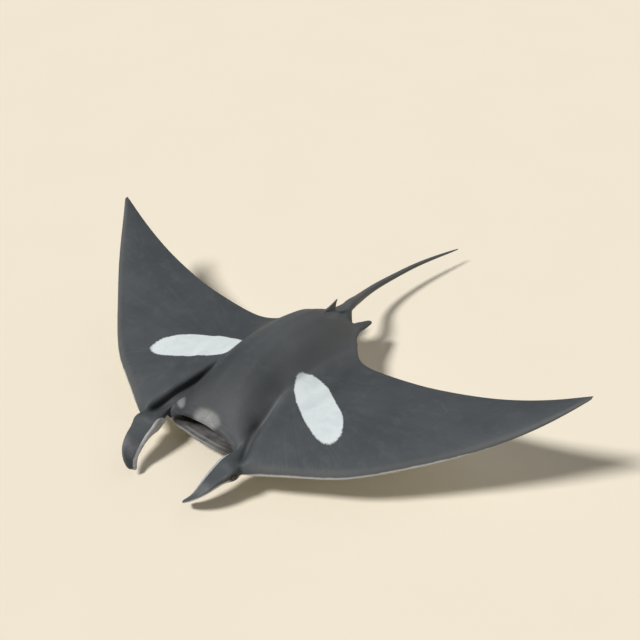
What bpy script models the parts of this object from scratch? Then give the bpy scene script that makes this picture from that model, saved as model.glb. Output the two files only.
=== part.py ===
"""A reef manta ray (Mobula alfredi), life size, as a still museum model on a plain stand.

The animal swims with its wings raised and its head fins unrolled. It is modelled whole, as one
smooth skin over a control cage, then parted into its regions by thin cuts. Metres, +Z up, head
towards -Y, the animal's left at +X, the floor at Z = 0 under the stand's middle.
"""

import bpy
import bmesh
import numpy as np
from math import radians
from mathutils import Matrix

for ob in list(bpy.data.objects):
    bpy.data.objects.remove(ob, do_unlink=True)

# ---------------------------------------------------------------- driving sizes, metres
GAP = 0.0003              # clearance between neighbouring pieces
EYE_RADIUS = 0.0240
BASE_SIZE = (0.90, 0.62, 0.024)
BASE_CORNER = 0.060
BASE_EDGE = 0.005
ROD_RADIUS = 0.016
ROD_COLLAR = (0.042, 0.010)   # radius, height
ROD_SPREAD = 0.210        # each rod's distance ahead of or behind the stand's middle
SOCKET_DEPTH = 0.070      # how far a rod goes into the belly

# ---------------------------------------------------------------- body form
# All of the form below is written in half-spans: 1.0 is the distance from the
# midline to a wing tip. X is to the animal's left, -Y is ahead, +Z is up, and
# the zero of Y lies between the shoulder patches.

HALF_SPAN = 1.75          # metres: a disc 3.5 m wide
FLOOR = -0.193            # the floor's height in half-spans
STAND_Y = -0.050          # the stand's centre in half-spans, under the centre of mass


def spline(xs, ys, x):
    """A smooth curve through a few stations (natural tangents limited so that it never overshoots)."""
    xs, ys, x = np.asarray(xs, float), np.asarray(ys, float), np.asarray(x, float)
    d = np.diff(ys) / np.diff(xs)
    m = np.empty_like(ys)
    m[0], m[-1] = d[0], d[-1]
    h = np.diff(xs)
    for k in range(1, len(ys) - 1):
        if d[k - 1] * d[k] <= 0:
            m[k] = 0.0
        else:
            w1, w2 = 2 * h[k] + h[k - 1], h[k] + 2 * h[k - 1]
            m[k] = (w1 + w2) / (w1 / d[k - 1] + w2 / d[k])
    k = np.clip(np.searchsorted(xs, x, side="right") - 1, 0, len(xs) - 2)
    t = np.clip((x - xs[k]) / h[k], 0, 1)
    return (
        ys[k] * (1 + 2 * t) * (1 - t) ** 2
        + m[k] * h[k] * t * (1 - t) ** 2
        + ys[k + 1] * t * t * (3 - 2 * t)
        + m[k + 1] * h[k] * t * t * (t - 1)
    )


def smooth(a, b, x):
    t = np.clip((np.asarray(x, float) - a) / (b - a), 0, 1)
    return t * t * (3 - 2 * t)


# Span stations: midline, mouth (0 to 4), root of the cephalic fin (5 to 7), wing.
SPAN = [0.0, 0.043, 0.083, 0.115, 0.138, 0.154, 0.184, 0.213, 0.256, 0.325, 0.408,
        0.500, 0.605, 0.710, 0.810, 0.895, 0.955, 1.001]
# Chord stations, front to back.
CHORD = [0.0, 0.028, 0.085, 0.18, 0.30, 0.43, 0.56, 0.69, 0.79, 0.88, 0.95, 1.0]
LAST = len(CHORD) - 1
DORSAL = LAST - 2         # the chord station under the back fin
CORNER = 4                # the span station of the mouth's corner
FIN_A, FIN_C = 5, 7       # the span stations of the cephalic fin's root


def front_y(x):
    return spline([0, 0.09, 0.15, 0.19, 0.213, 0.25, 0.30, 0.40, 0.48, 0.55, 0.65, 0.75, 0.85, 0.93, 1.0],
                  [-0.338, -0.341, -0.352, -0.402, -0.410, -0.392, -0.364, -0.307, -0.260, -0.207, -0.113, -0.015, 0.090, 0.185, 0.2735], x)


def front_z(x):
    return spline([0, 0.09, 0.15, 0.208, 0.30, 0.40, 0.48, 0.55, 0.65, 0.75, 0.85, 0.93, 1.0],
                  [-0.060, -0.067, -0.096, -0.096, -0.090, -0.083, -0.074, -0.060, -0.035, -0.003, 0.045, 0.096, 0.1595], x)


def back_y(x):
    return spline([0, 0.045, 0.09, 0.125, 0.168, 0.208, 0.25, 0.31, 0.40, 0.50, 0.60, 0.70, 0.80, 0.90, 1.0],
                  [0.395, 0.385, 0.350, 0.308, 0.251, 0.2145, 0.1965, 0.188, 0.184, 0.188, 0.201, 0.219, 0.240, 0.262, 0.2855], x)


def back_z(x):
    return spline([0, 0.045, 0.125, 0.21, 0.30, 0.40, 0.50, 0.60, 0.70, 0.80, 0.90, 1.0],
                  [-0.026, -0.034, -0.046, -0.041, -0.028, -0.011, 0.005, 0.023, 0.044, 0.073, 0.113, 0.1630], x)


def lip_low(x):
    """(y, z) of the lower lip, which meets the upper one at the mouth's corner."""
    open_ = np.sqrt(max(0.0, 1 - (x / 0.142) ** 2))
    return front_y(x) - 0.006 * open_, front_z(x) - 0.084 * open_


def rise(x):
    return spline([0, 0.045, 0.09, 0.125, 0.15, 0.188, 0.25, 0.31, 0.38, 0.46, 0.54, 0.62, 0.70, 0.80, 0.90, 1.0],
                  [0.145, 0.139, 0.117, 0.087, 0.071, 0.060, 0.051, 0.043, 0.037, 0.032, 0.0275, 0.0235, 0.0195, 0.014, 0.009, 0.003], x)


def fall(x):
    return spline([0, 0.09, 0.15, 0.208, 0.25, 0.31, 0.38, 0.46, 0.54, 0.62, 0.70, 0.80, 0.90, 1.0],
                  [0.034, 0.042, 0.053, 0.046, 0.037, 0.028, 0.022, 0.019, 0.0165, 0.014, 0.0115, 0.0085, 0.006, 0.002], x)


def furrow_x(t):
    """How far from the midline the furrow between head and wing runs, along the chord."""
    return spline([0, 0.06, 0.12, 0.17, 0.21, 0.27, 0.40, 1.0], [0.196, 0.185, 0.174, 0.162, 0.152, 0.141, 0.130, 0.126], t)


def top_point(x, t):
    """A point of the back: x from the midline, t along the chord."""
    x = abs(x)
    y = front_y(x) + t * (back_y(x) - front_y(x))
    z = front_z(x) + t * (back_z(x) - front_z(x))
    peak = spline([0, 0.15, 0.30, 1.0], [0.50, 0.47, 0.36, 0.34], x)
    blunt = spline([0, 0.09, 0.17, 0.25, 1.0], [0.92, 0.84, 0.50, 0.50, 0.52], x)
    if t < peak:
        s = (1 - (1 - t / peak) ** 2) ** blunt
    else:
        s = 1 - ((t - peak) / (1 - peak)) ** spline([0, 0.12, 0.25, 1.0], [2.1, 2.0, 1.75, 1.75], x)
    edge = 0.0016 * (1 - abs(2 * t - 1) ** 8) if 0 < t < 1 else 0.0
    z += rise(x) * s + edge
    # the furrow between the head and the root of the wing
    line = furrow_x(t)
    off = (x - line) / (0.030 if x < line else 0.015)
    z -= 0.031 * np.exp(-off * off) * smooth(0.01, 0.08, t) * (1 - smooth(0.22, 0.42, t))
    return y, z


def low_point(x, t):
    """A point of the belly."""
    x = abs(x)
    y0, z0 = lip_low(x)
    y = y0 + t * (back_y(x) - y0)
    z = z0 + t * (back_z(x) - z0)
    peak = spline([0, 0.15, 0.30, 1.0], [0.36, 0.36, 0.34, 0.34], x)
    if t < peak:
        s = (1 - (1 - t / peak) ** 2) ** 0.55
    else:
        s = 1 - ((t - peak) / (1 - peak)) ** 1.6
    edge = 0.0016 * (1 - abs(2 * t - 1) ** 8) if 0 < t < 1 else 0.0
    return y, z - fall(x) * s - edge


# The mouth's lining in the section plane: distance in from the lip and share of the gape, roof then floor.
LINING = [(0.010, 0.10), (0.050, 0.02), (0.110, 0.08), (0.150, 0.50), (0.110, 0.86), (0.050, 0.93), (0.006, 0.86)]


def lining_point(x, k):
    x = abs(x)
    y0, z0 = front_y(x), front_z(x)
    y1, z1 = lip_low(x)
    deep = np.sqrt(max(0.0, 1 - (x / 0.153) ** 2))
    inward, share = LINING[k]
    y = y0 + (y1 - y0) * share + inward * (0.25 + 0.75 * deep)
    return y, z0 + (z1 - z0) * share


def lobe(rows, ring0):
    """Rings of a fin or the tail. rows: (centre, half-width vector, half-thickness vector); ring0 gives
    each ring vertex's place on a flattened round, as (across, through)."""
    rings = []
    for centre, wide, thick in rows:
        c, w, h = (np.array(v, float) for v in (centre, wide, thick))
        rings.append([tuple(c + a * w + b * h) for a, b in ring0])
    return rings


# Where the eight corners of a root patch go on a fin's section, starting at the inner top corner.
ROUND8 = [(-0.74, 0.78), (0.0, 1.0), (0.74, 0.78), (1.0, 0.0), (0.74, -0.78), (0.0, -1.0), (-0.74, -0.78), (-1.0, 0.0)]
BLADE8 = [(-0.90, 0.80), (0.0, 1.0), (0.80, 0.72), (1.0, 0.0), (0.80, -0.72), (0.0, -1.0), (-0.90, -0.80), (-1.0, 0.0)]


def cephalic_rows():
    """The unrolled head fin: ahead, then down and inwards at its tip."""
    # centre x, y, z, half-width, half-thickness, roll of the blade (degrees, outer edge up), heading (degrees, inwards)
    table = [
        (0.1750, -0.412, -0.0940, 0.0395, 0.0255, 4, 16),
        (0.1715, -0.434, -0.0965, 0.0385, 0.0205, 6, 10),
        (0.1685, -0.458, -0.1010, 0.0365, 0.0160, 10, 10),
        (0.1625, -0.487, -0.1105, 0.0340, 0.0130, 15, 17),
        (0.1535, -0.514, -0.1240, 0.0305, 0.0110, 20, 30),
        (0.1400, -0.536, -0.1400, 0.0250, 0.0085, 26, 46),
        (0.1235, -0.549, -0.1545, 0.0200, 0.0060, 30, 58),
        (0.1135, -0.553, -0.1620, 0.0140, 0.0040, 30, 64),
    ]
    rows = []
    for x, y, z, wide, thick, roll, heading in table:
        r, h = np.radians(roll), np.radians(heading)
        across = np.array([np.cos(r) * np.cos(h), -np.cos(r) * np.sin(h), np.sin(r)])
        through = np.array([-np.sin(r) * np.cos(h), np.sin(r) * np.sin(h), np.cos(r)])
        rows.append(((x, y, z), across * wide, through * thick))
    return rows


def tail_middle(y):
    """The tail's centre line: it drops behind the trunk, then levels, bowed to the animal's right."""
    x = spline([0.40, 0.44, 0.50, 0.60, 0.72, 0.86, 1.00, 1.18], [0, -0.0075, -0.0245, -0.0535, -0.0645, -0.0567, -0.0360, 0], y)
    z = spline([0.39, 0.42, 0.445, 0.50, 0.60, 0.70, 0.80, 0.90, 1.00, 1.18],
               [-0.0170, -0.0160, -0.0190, -0.0375, -0.0695, -0.0860, -0.0960, -0.1020, -0.1090, -0.1255], y)
    return np.array([float(x), y, float(z)])


def tail_rows():
    rows = []
    for y in (0.408, 0.432, 0.466, 0.520, 0.600, 0.700, 0.810, 0.930, 1.050, 1.140, 1.178):
        along = tail_middle(y + 0.01) - tail_middle(y - 0.01)
        along /= np.linalg.norm(along)
        across = np.array([along[1], -along[0], 0.0])
        across /= np.linalg.norm(across)
        w = spline([0.40, 0.44, 0.50, 0.60, 0.80, 1.0, 1.15, 1.18], [0.0245, 0.0200, 0.0164, 0.0135, 0.0100, 0.0069, 0.0034, 0.0016], y)
        h = spline([0.40, 0.44, 0.50, 0.60, 0.80, 1.0, 1.15, 1.18], [0.0190, 0.0175, 0.0156, 0.0130, 0.0097, 0.0068, 0.0034, 0.0016], y)
        rows.append((tail_middle(y), across * w, np.cross(across, along) * h))
    return rows


def pelvic_rows():
    return [
        ((0.0740, 0.372, -0.0500), (0.0250, -0.010, 0), (0, 0, 0.0120)),
        ((0.0710, 0.395, -0.0570), (0.0225, -0.006, 0), (0, 0, 0.0085)),
        ((0.0690, 0.418, -0.0640), (0.0198, -0.003, 0), (0, 0, 0.0065)),
        ((0.0670, 0.440, -0.0705), (0.0162, 0.000, 0), (0, 0, 0.0052)),
        ((0.0645, 0.459, -0.0755), (0.0118, 0.002, 0), (0, 0, 0.0040)),
        ((0.0630, 0.469, -0.0780), (0.0045, 0.001, 0), (0, 0, 0.0026)),
    ]


def dorsal_rows():
    """The small back fin: rows go up; across is along the body, through is its thickness."""
    return [
        ((0, 0.304, 0.0300), (0, 0.0360, -0.0110), (-0.0105, 0, 0)),
        ((0, 0.311, 0.0350), (0, 0.0310, -0.0060), (-0.0060, 0, 0)),
        ((0, 0.322, 0.0425), (0, 0.0230, -0.0020), (-0.0042, 0, 0)),
        ((0, 0.335, 0.0490), (0, 0.0150, 0.0010), (-0.0033, 0, 0)),
        ((0, 0.345, 0.0535), (0, 0.0070, 0.0015), (-0.0022, 0, 0)),
    ]


def cage():
    """The animal's control cage, one closed skin: (points, faces, kinds) in half-spans. kinds names each point's part."""
    points, kinds, index = [], [], {}

    def put(key, p, kind):
        index[key] = len(points)
        points.append(tuple(float(v) for v in p))
        kinds.append(kind)

    n = len(SPAN) - 1
    for i in range(-n, n + 1):
        side, x = (1 if i >= 0 else -1), SPAN[abs(i)]
        mouth = abs(i) <= CORNER
        for j in range(LAST + 1):
            t = CHORD[j]
            y, z = top_point(x, t)
            if not ((abs(i) == 6 and j == 0) or (i == 0 and j == LAST) or (abs(i) == 2 and j == LAST) or (i == 0 and j == DORSAL)):
                put(("t", i, j), (side * x, y, z), "disc")
            if 0 < j < LAST or (j == 0 and mouth):
                y, z = low_point(x, t)
                put(("b", i, j), (side * x, y, z), "disc")
        if mouth:
            for k in range(len(LINING)):
                y, z = lining_point(x, k)
                put(("m", i, k), (side * x * (1.0 - 0.04 * (abs(i) == CORNER)), y, z), "mouth")
    faces = []

    def at(row, i, j):
        if row == "b" and (j == LAST or (j == 0 and abs(i) > CORNER)):
            row = "t"
        return index.get((row, i, j), -1)

    def face(*ids):
        if min(ids) >= 0:
            faces.append(ids)

    for i in range(-n, n):
        for j in range(LAST):
            face(at("t", i, j), at("t", i + 1, j), at("t", i + 1, j + 1), at("t", i, j + 1))
            face(at("b", i, j), at("b", i, j + 1), at("b", i + 1, j + 1), at("b", i + 1, j))
    # the mouth's lining
    m = len(LINING)
    for i in range(-CORNER, CORNER):
        loops = []
        for c in (i, i + 1):
            loops.append([index[("t", c, 0)]] + [index[("m", c, k)] for k in range(m)] + [index[("b", c, 0)]])
        for k in range(m + 1):
            face(loops[0][k], loops[0][k + 1], loops[1][k + 1], loops[1][k])
    for s in (-1, 1):
        c = s * CORNER
        turn = (lambda ids: ids) if s > 0 else (lambda ids: ids[::-1])
        U, L = index[("t", c, 0)], index[("b", c, 0)]
        k = [index[("m", c, q)] for q in range(m)]
        face(*turn((U, k[0], k[6], L)))
        face(*turn((k[0], k[1], k[5], k[6])))
        face(*turn((k[1], k[2], k[4], k[5])))
        face(*turn((k[2], k[3], k[4])))
        face(*turn((U, L, at("t", s * (CORNER + 1), 0))))
        # the wing tip's cap
        e = s * n
        top = [at("t", e, j) for j in range(LAST + 1)]
        low = [top[0]] + [index[("b", e, j)] for j in range(1, LAST)] + [top[-1]]
        for j in range(LAST):
            ids = (top[j], low[j], low[j + 1], top[j + 1])
            ids = tuple(dict.fromkeys(ids))
            face(*turn(ids))

    def grow(root, rows, kind, s, ring0=ROUND8):
        """Lengthens a ring of root points into a fin and closes its end."""
        last = root
        for r, ring in enumerate(lobe(rows, ring0)):
            ids = []
            for q, p in enumerate(ring):
                put((kind, s, r, q), (p[0] * s, p[1], p[2]), kind)
                ids.append(index[(kind, s, r, q)])
            for q in range(8):
                a, b = last[q], last[(q + 1) % 8]
                c, d = ids[(q + 1) % 8], ids[q]
                face(*((a, b, c, d) if s > 0 else (d, c, b, a)))
            last = ids
        centre, wide, _ = rows[-1]
        put((kind, s, "end"), (centre[0] * s, centre[1], centre[2]), kind)
        e = index[(kind, s, "end")]
        for q in (1, 3, 5, 7):
            a, b, c = last[q], last[(q + 1) % 8], last[(q + 2) % 8]
            face(*((e, a, b, c) if s > 0 else (e, c, b, a)))

    for s in (1, -1):
        a, b, c = s * FIN_A, s * (FIN_A + 1), s * FIN_C
        grow([at("t", a, 1), at("t", b, 1), at("t", c, 1), at("t", c, 0), at("b", c, 1), at("b", b, 1), at("b", a, 1), at("t", a, 0)],
             cephalic_rows(), "cephalic", s, ring0=BLADE8)
        a, b, c = s * 1, s * 2, s * 3
        j = LAST - 1
        grow([at("t", c, j), at("t", b, j), at("t", a, j), at("t", a, LAST), at("b", a, j), at("b", b, j), at("b", c, j), at("t", c, LAST)],
             [(p, tuple(-v for v in w), h) for p, w, h in pelvic_rows()], "pelvic", s)
    j = LAST - 1
    grow([at("t", 1, j), at("t", 0, j), at("t", -1, j), at("t", -1, LAST), at("b", -1, j), at("b", 0, j), at("b", 1, j), at("t", 1, LAST)],
         [(p, tuple(-v for v in w), h) for p, w, h in tail_rows()], "tail", 1)
    j = DORSAL
    grow([at("t", -1, j - 1), at("t", 0, j - 1), at("t", 1, j - 1), at("t", 1, j), at("t", 1, j + 1), at("t", 0, j + 1), at("t", -1, j + 1), at("t", -1, j)],
         dorsal_rows(), "dorsal", 1, ring0=[(-0.72, 0.8), (-1.0, 0.0), (-0.72, -0.8), (0.0, -1.0), (0.72, -0.8), (1.0, 0.0), (0.72, 0.8), (0.0, 1.0)])
    return np.array(points), faces, kinds


def settle(points, faces, wanted, hold, rounds=14):
    """Moves the cage so that its smooth surface passes through the wanted points (hold: how firmly, 0 to 1)."""
    edges, edge_of = [], []
    found = {}
    for f in faces:
        row = []
        for a, b in zip(f, f[1:] + f[:1]):
            key = (a, b) if a < b else (b, a)
            if key not in found:
                found[key] = len(edges)
                edges.append(key)
            row.append(found[key])
        edge_of.append(row)
    edges = np.array(edges)
    corner = np.array([v for f in faces for v in f])
    of_face = np.array([k for k, f in enumerate(faces) for _ in f])
    of_edge = np.array([e for row in edge_of for e in row])
    sides = np.bincount(of_face)[:, None]
    n = np.bincount(corner)[:, None].astype(float)

    def gather(index, values, size):
        out = np.zeros((size, 3))
        np.add.at(out, index, values)
        return out

    cage_ = points.copy()
    for _ in range(rounds):
        face_point = gather(of_face, cage_[corner], len(faces)) / sides
        middle = (cage_[edges[:, 0]] + cage_[edges[:, 1]]) / 2
        edge_point = middle / 2 + gather(of_edge, face_point[of_face], len(edges)) / 4
        near_faces = gather(corner, face_point[of_face], len(cage_))
        near_middles = gather(edges.ravel(), np.repeat(middle, 2, axis=0), len(cage_))
        near_edges = gather(edges.ravel(), np.repeat(edge_point, 2, axis=0), len(cage_))
        moved = (near_faces / n + 2 * near_middles / n + (n - 3) * cage_) / n
        surface = (n * n * moved + 4 * near_edges + near_faces) / (n * (n + 5))
        cage_ += hold[:, None] * (wanted - surface)
    return cage_


def firmness(points, kinds):
    hold = np.zeros(len(points))
    for k, (p, kind) in enumerate(zip(points, kinds)):
        if kind == "disc":
            hold[k] = 0.35 + 0.65 * smooth(0.21, 0.27, abs(p[0])) - smooth(0.93, 0.97, abs(p[0]))
        elif kind == "mouth":
            hold[k] = 0.0
        else:
            hold[k] = 0.7
    return hold


# ---------------------------------------------------------------- helpers
def metres(p):
    """From half-spans about the midline to the model's frame in metres."""
    return (p[0] * HALF_SPAN, (p[1] - STAND_Y) * HALF_SPAN, (p[2] - FLOOR) * HALF_SPAN)


def add_object(name, mesh):
    ob = bpy.data.objects.new(name, mesh)
    bpy.context.scene.collection.objects.link(ob)
    return ob


def mesh_from(name, bm):
    mesh = bpy.data.meshes.new(name)
    bmesh.ops.recalc_face_normals(bm, faces=bm.faces)
    bm.to_mesh(mesh)
    bm.free()
    return mesh


def hide_tool(ob):
    ob.hide_render = True
    ob.display_type = "WIRE"
    return ob


def prism(name, outline, z0, z1):
    """A straight prism over a closed outline of (x, y) points, all in half-spans."""
    bm = bmesh.new()
    low = [bm.verts.new(metres((x, y, z0))) for x, y in outline]
    face = bm.faces.new(low)
    lift = bmesh.ops.extrude_face_region(bm, geom=[face])["geom"]
    for v in (g for g in lift if isinstance(g, bmesh.types.BMVert)):
        v.co.z += (z1 - z0) * HALF_SPAN
    return hide_tool(add_object(name, mesh_from(name, bm)))


def slab(name, x0, x1, y, z0, z1, lean=0.0):
    """A thin wall across the body at y; lean tips its top backwards (rise over run in half-spans)."""
    half = GAP / HALF_SPAN / 2
    bm = bmesh.new()
    corners = []
    for x in (x0, x1):
        for dy in (-half, half):
            for z in (z0, z1):
                corners.append(bm.verts.new(metres((x, y + dy + lean * z, z))))
    for ids in ((0, 1, 3, 2), (4, 6, 7, 5), (0, 4, 5, 1), (2, 3, 7, 6), (0, 2, 6, 4), (1, 5, 7, 3)):
        bm.faces.new([corners[k] for k in ids])
    return hide_tool(add_object(name, mesh_from(name, bm)))


def level_slab(name, half_width, y0, y1, z0, slope):
    """A thin sheet under the back fin: z0 at its front edge, sloping with the back."""
    half = GAP / HALF_SPAN / 2
    bm = bmesh.new()
    corners = []
    for x in (-half_width, half_width):
        for y in (y0, y1):
            for dz in (-half, half):
                corners.append(bm.verts.new(metres((x, y, z0 + slope * (y - y0) + dz))))
    for ids in ((0, 1, 3, 2), (4, 6, 7, 5), (0, 4, 5, 1), (2, 3, 7, 6), (0, 2, 6, 4), (1, 5, 7, 3)):
        bm.faces.new([corners[k] for k in ids])
    return hide_tool(add_object(name, mesh_from(name, bm)))


def wall_x(name, x, y0, y1, z0, z1):
    half = GAP / HALF_SPAN / 2
    return prism(name, [(x - half, y0), (x + half, y0), (x + half, y1), (x - half, y1)], z0, z1)


def carve(ob, tools):
    """Subtracts each tool in turn and keeps the result as plain mesh."""
    for tool in tools:
        mod = ob.modifiers.new(tool.name, "BOOLEAN")
        mod.operation = "DIFFERENCE"
        mod.solver = "EXACT"
        mod.object = tool
        bpy.context.view_layer.update()
        shaped = ob.evaluated_get(bpy.context.evaluated_depsgraph_get())
        mesh = bpy.data.meshes.new_from_object(shaped)
        ob.modifiers.clear()
        bm = bmesh.new()
        bm.from_mesh(mesh)
        bmesh.ops.recalc_face_normals(bm, faces=bm.faces)
        bm.to_mesh(mesh)
        bm.free()
        ob.data = mesh
    for tool in tools:
        bpy.data.objects.remove(tool, do_unlink=True)


def split(ob):
    """The separate closed bodies of a mesh, as (vertex array, faces)."""
    mesh = ob.data
    co = np.empty(len(mesh.vertices) * 3)
    mesh.vertices.foreach_get("co", co)
    co = co.reshape(-1, 3)
    parent = np.arange(len(co))

    def root(a):
        while parent[a] != a:
            parent[a] = parent[parent[a]]
            a = parent[a]
        return a

    for e in mesh.edges:
        a, b = root(e.vertices[0]), root(e.vertices[1])
        if a != b:
            parent[a] = b
    groups = {}
    for p in mesh.polygons:
        groups.setdefault(root(p.vertices[0]), []).append(tuple(p.vertices))
    out = []
    for faces in groups.values():
        used = sorted({v for f in faces for v in f})
        place = {v: k for k, v in enumerate(used)}
        out.append((co[used], [tuple(place[v] for v in f) for f in faces]))
    return out


# ---------------------------------------------------------------- materials
def material(name, colour, roughness, metallic=0.0):
    mat = bpy.data.materials.new(name)
    mat.use_nodes = True
    bsdf = mat.node_tree.nodes["Principled BSDF"]
    bsdf.inputs["Base Color"].default_value = (*colour, 1.0)
    bsdf.inputs["Roughness"].default_value = roughness
    bsdf.inputs["Metallic"].default_value = metallic
    return mat


SLATE = (0.075, 0.085, 0.092)
PALE_GREY = (0.26, 0.26, 0.27)


# ---------------------------------------------------------------- the whole animal
points, faces, kinds = cage()
points = settle(points, faces, points, firmness(points, kinds))
bm = bmesh.new()
verts = [bm.verts.new(metres(p)) for p in points]
for ids in faces:
    bm.faces.new([verts[k] for k in ids])
animal = add_object("animal", mesh_from("animal", bm))
smooth_skin = animal.modifiers.new("smooth_skin", "SUBSURF")
smooth_skin.levels = 1
smooth_skin.render_levels = 1
smooth_skin.use_limit_surface = True
fewer_facets = animal.modifiers.new("fewer_facets", "DECIMATE")
fewer_facets.decimate_type = "COLLAPSE"
fewer_facets.ratio = 0.62
fewer_facets.use_symmetry = True
fewer_facets.symmetry_axis = "X"
bpy.context.view_layer.update()
whole = bpy.data.meshes.new_from_object(animal.evaluated_get(bpy.context.evaluated_depsgraph_get()))
animal.modifiers.clear()
animal.data = whole

# ---------------------------------------------------------------- stand
stand_steel = material("stand_steel", (0.30, 0.31, 0.32), 0.35, 0.9)
stand_paint = material("stand_paint", (0.62, 0.58, 0.50), 0.5)

bm = bmesh.new()
bmesh.ops.create_cube(bm, size=1.0)
bmesh.ops.scale(bm, vec=BASE_SIZE, verts=bm.verts)
bmesh.ops.translate(bm, vec=(0, 0, BASE_SIZE[2] / 2), verts=bm.verts)
upright = [e for e in bm.edges if abs(e.verts[0].co.z - e.verts[1].co.z) > BASE_SIZE[2] / 2]
bmesh.ops.bevel(bm, geom=upright, offset=BASE_CORNER, segments=6, affect="EDGES", profile=0.5)
rim = [e for e in bm.edges if min(v.co.z for v in e.verts) > BASE_SIZE[2] - 1e-6 and len(e.link_faces) == 2
       and any(abs(f.normal.z) < 0.5 for f in e.link_faces)]
bmesh.ops.bevel(bm, geom=rim, offset=BASE_EDGE, segments=2, affect="EDGES", profile=0.5)
base = add_object("stand_base", mesh_from("stand_base", bm))
base.data.materials.append(stand_paint)

floor_of_belly = animal.evaluated_get(bpy.context.evaluated_depsgraph_get())


def belly_height(y):
    """Where a line straight up the midline at y meets the belly."""
    hit, where, _, _ = floor_of_belly.ray_cast((0.0, y, 0.0), (0.0, 0.0, 1.0))
    return where.z


rod_sockets, eye_sockets = [], []
for name, y in (("stand_rod_front", -ROD_SPREAD), ("stand_rod_rear", ROD_SPREAD)):
    foot = BASE_SIZE[2] + GAP
    top = belly_height(y) + SOCKET_DEPTH
    r, (cr, ch) = ROD_RADIUS, ROD_COLLAR
    profile = [(0.0, foot), (cr, foot), (cr, foot + ch - 0.003), (cr - 0.003, foot + ch), (r, foot + ch),
               (r, top - 0.004), (r - 0.004, top), (0.0, top)]
    bm = bmesh.new()
    line = [bm.verts.new((a, 0.0, b)) for a, b in profile]
    edges = [bm.edges.new(pair) for pair in zip(line, line[1:])]
    bmesh.ops.spin(bm, geom=line + edges, cent=(0, 0, 0), axis=(0, 0, 1), dvec=(0, 0, 0), angle=radians(360), steps=16, use_merge=True)
    bmesh.ops.remove_doubles(bm, verts=bm.verts, dist=1e-6)
    rod = add_object(name, mesh_from(name, bm))
    rod.location = (0.0, y, 0.0)
    rod.data.shade_smooth()
    rod.data.set_sharp_from_angle(angle=radians(35))
    rod.data.materials.append(stand_steel)
    bm = bmesh.new()
    depth = top + GAP - 0.04
    bmesh.ops.create_cone(bm, cap_ends=True, segments=16, radius1=r + GAP * 1.2, radius2=r + GAP * 1.2, depth=depth)
    bmesh.ops.translate(bm, vec=(0.0, y, 0.04 + depth / 2), verts=bm.verts)
    rod_sockets.append(hide_tool(add_object("socket_" + name, mesh_from("socket_" + name, bm))))

# ---------------------------------------------------------------- eyes
EYE_CENTRE = (0.2065, -0.4320, -0.0925)
for side, label in ((1, "left"), (-1, "right")):
    centre = metres((side * EYE_CENTRE[0], EYE_CENTRE[1], EYE_CENTRE[2]))
    for name, radius, keep in (("eye_" + label, EYE_RADIUS, True), ("socket_eye_" + label, EYE_RADIUS + GAP * 1.2, False)):
        bm = bmesh.new()
        bmesh.ops.create_uvsphere(bm, u_segments=16, v_segments=10, radius=radius)
        bmesh.ops.rotate(bm, cent=(0, 0, 0), matrix=Matrix.Rotation(radians(90), 3, "Y"), verts=bm.verts)
        if keep:
            ball = add_object(name, mesh_from(name, bm))
            ball.location = centre
            ball.data.shade_smooth()
            ball.data.materials.append(material("eye", (0.02, 0.02, 0.022), 0.12))
        else:
            bmesh.ops.translate(bm, vec=centre, verts=bm.verts)
            eye_sockets.append(hide_tool(add_object(name, mesh_from(name, bm))))

# ---------------------------------------------------------------- parting
WING_CUT = 0.2345         # where each wing leaves the trunk
NECK_CUT = -0.180         # where the head leaves the trunk
HORN_CUT = -0.4560        # where each head fin leaves the head
TAIL_CUTS = (0.432, 0.660, 0.915)
JAW_CUT = (0.120, -0.290) # the lower jaw's half-width and its back

cuts = [
    level_slab("cut_dorsal", 0.016, 0.262, 0.362, 0.0505, -0.40),
    slab("cut_pelvic_left", 0.039, 0.12, 0.3935, -0.14, 0.03),
    slab("cut_pelvic_right", -0.12, -0.039, 0.3935, -0.14, 0.03),
    wall_x("cut_wing_left", WING_CUT, -0.50, 0.45, -0.19, 0.20),
    wall_x("cut_wing_right", -WING_CUT, -0.50, 0.45, -0.19, 0.20),
    slab("cut_horns", -0.30, 0.30, HORN_CUT, -0.19, 0.05),
    slab("cut_neck", -WING_CUT, WING_CUT, NECK_CUT, -0.19, 0.20),
    slab("cut_tail_base", -0.034, 0.034, TAIL_CUTS[0], -0.10, 0.06),
    slab("cut_tail_mid", -0.10, 0.10, TAIL_CUTS[1], -0.19, 0.20),
    slab("cut_tail_tip", -0.10, 0.10, TAIL_CUTS[2], -0.19, 0.20),
]


def span_box(ob):
    corners = np.array([ob.matrix_world @ v.co for v in ob.data.vertices])
    return corners.min(axis=0), corners.max(axis=0)


def meet(a, b):
    (alo, ahi), (blo, bhi) = span_box(a), span_box(b)
    return bool((alo < bhi).all() and (blo < ahi).all())


# Each cut is made in the one piece it crosses, so that every piece stays a single closed body.
pieces = [animal]
for tool in cuts:
    parted = []
    for piece in pieces:
        if not meet(piece, tool):
            parted.append(piece)
            continue
        blade = hide_tool(add_object(tool.name + "_blade", tool.data))
        carve(piece, [blade])
        for co, piece_faces in split(piece):
            mesh = bpy.data.meshes.new("piece")
            mesh.from_pydata([tuple(c) for c in co], [], piece_faces)
            parted.append(add_object("piece", mesh))
        bpy.data.objects.remove(piece, do_unlink=True)
    pieces = parted
    bpy.data.objects.remove(tool, do_unlink=True)


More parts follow.
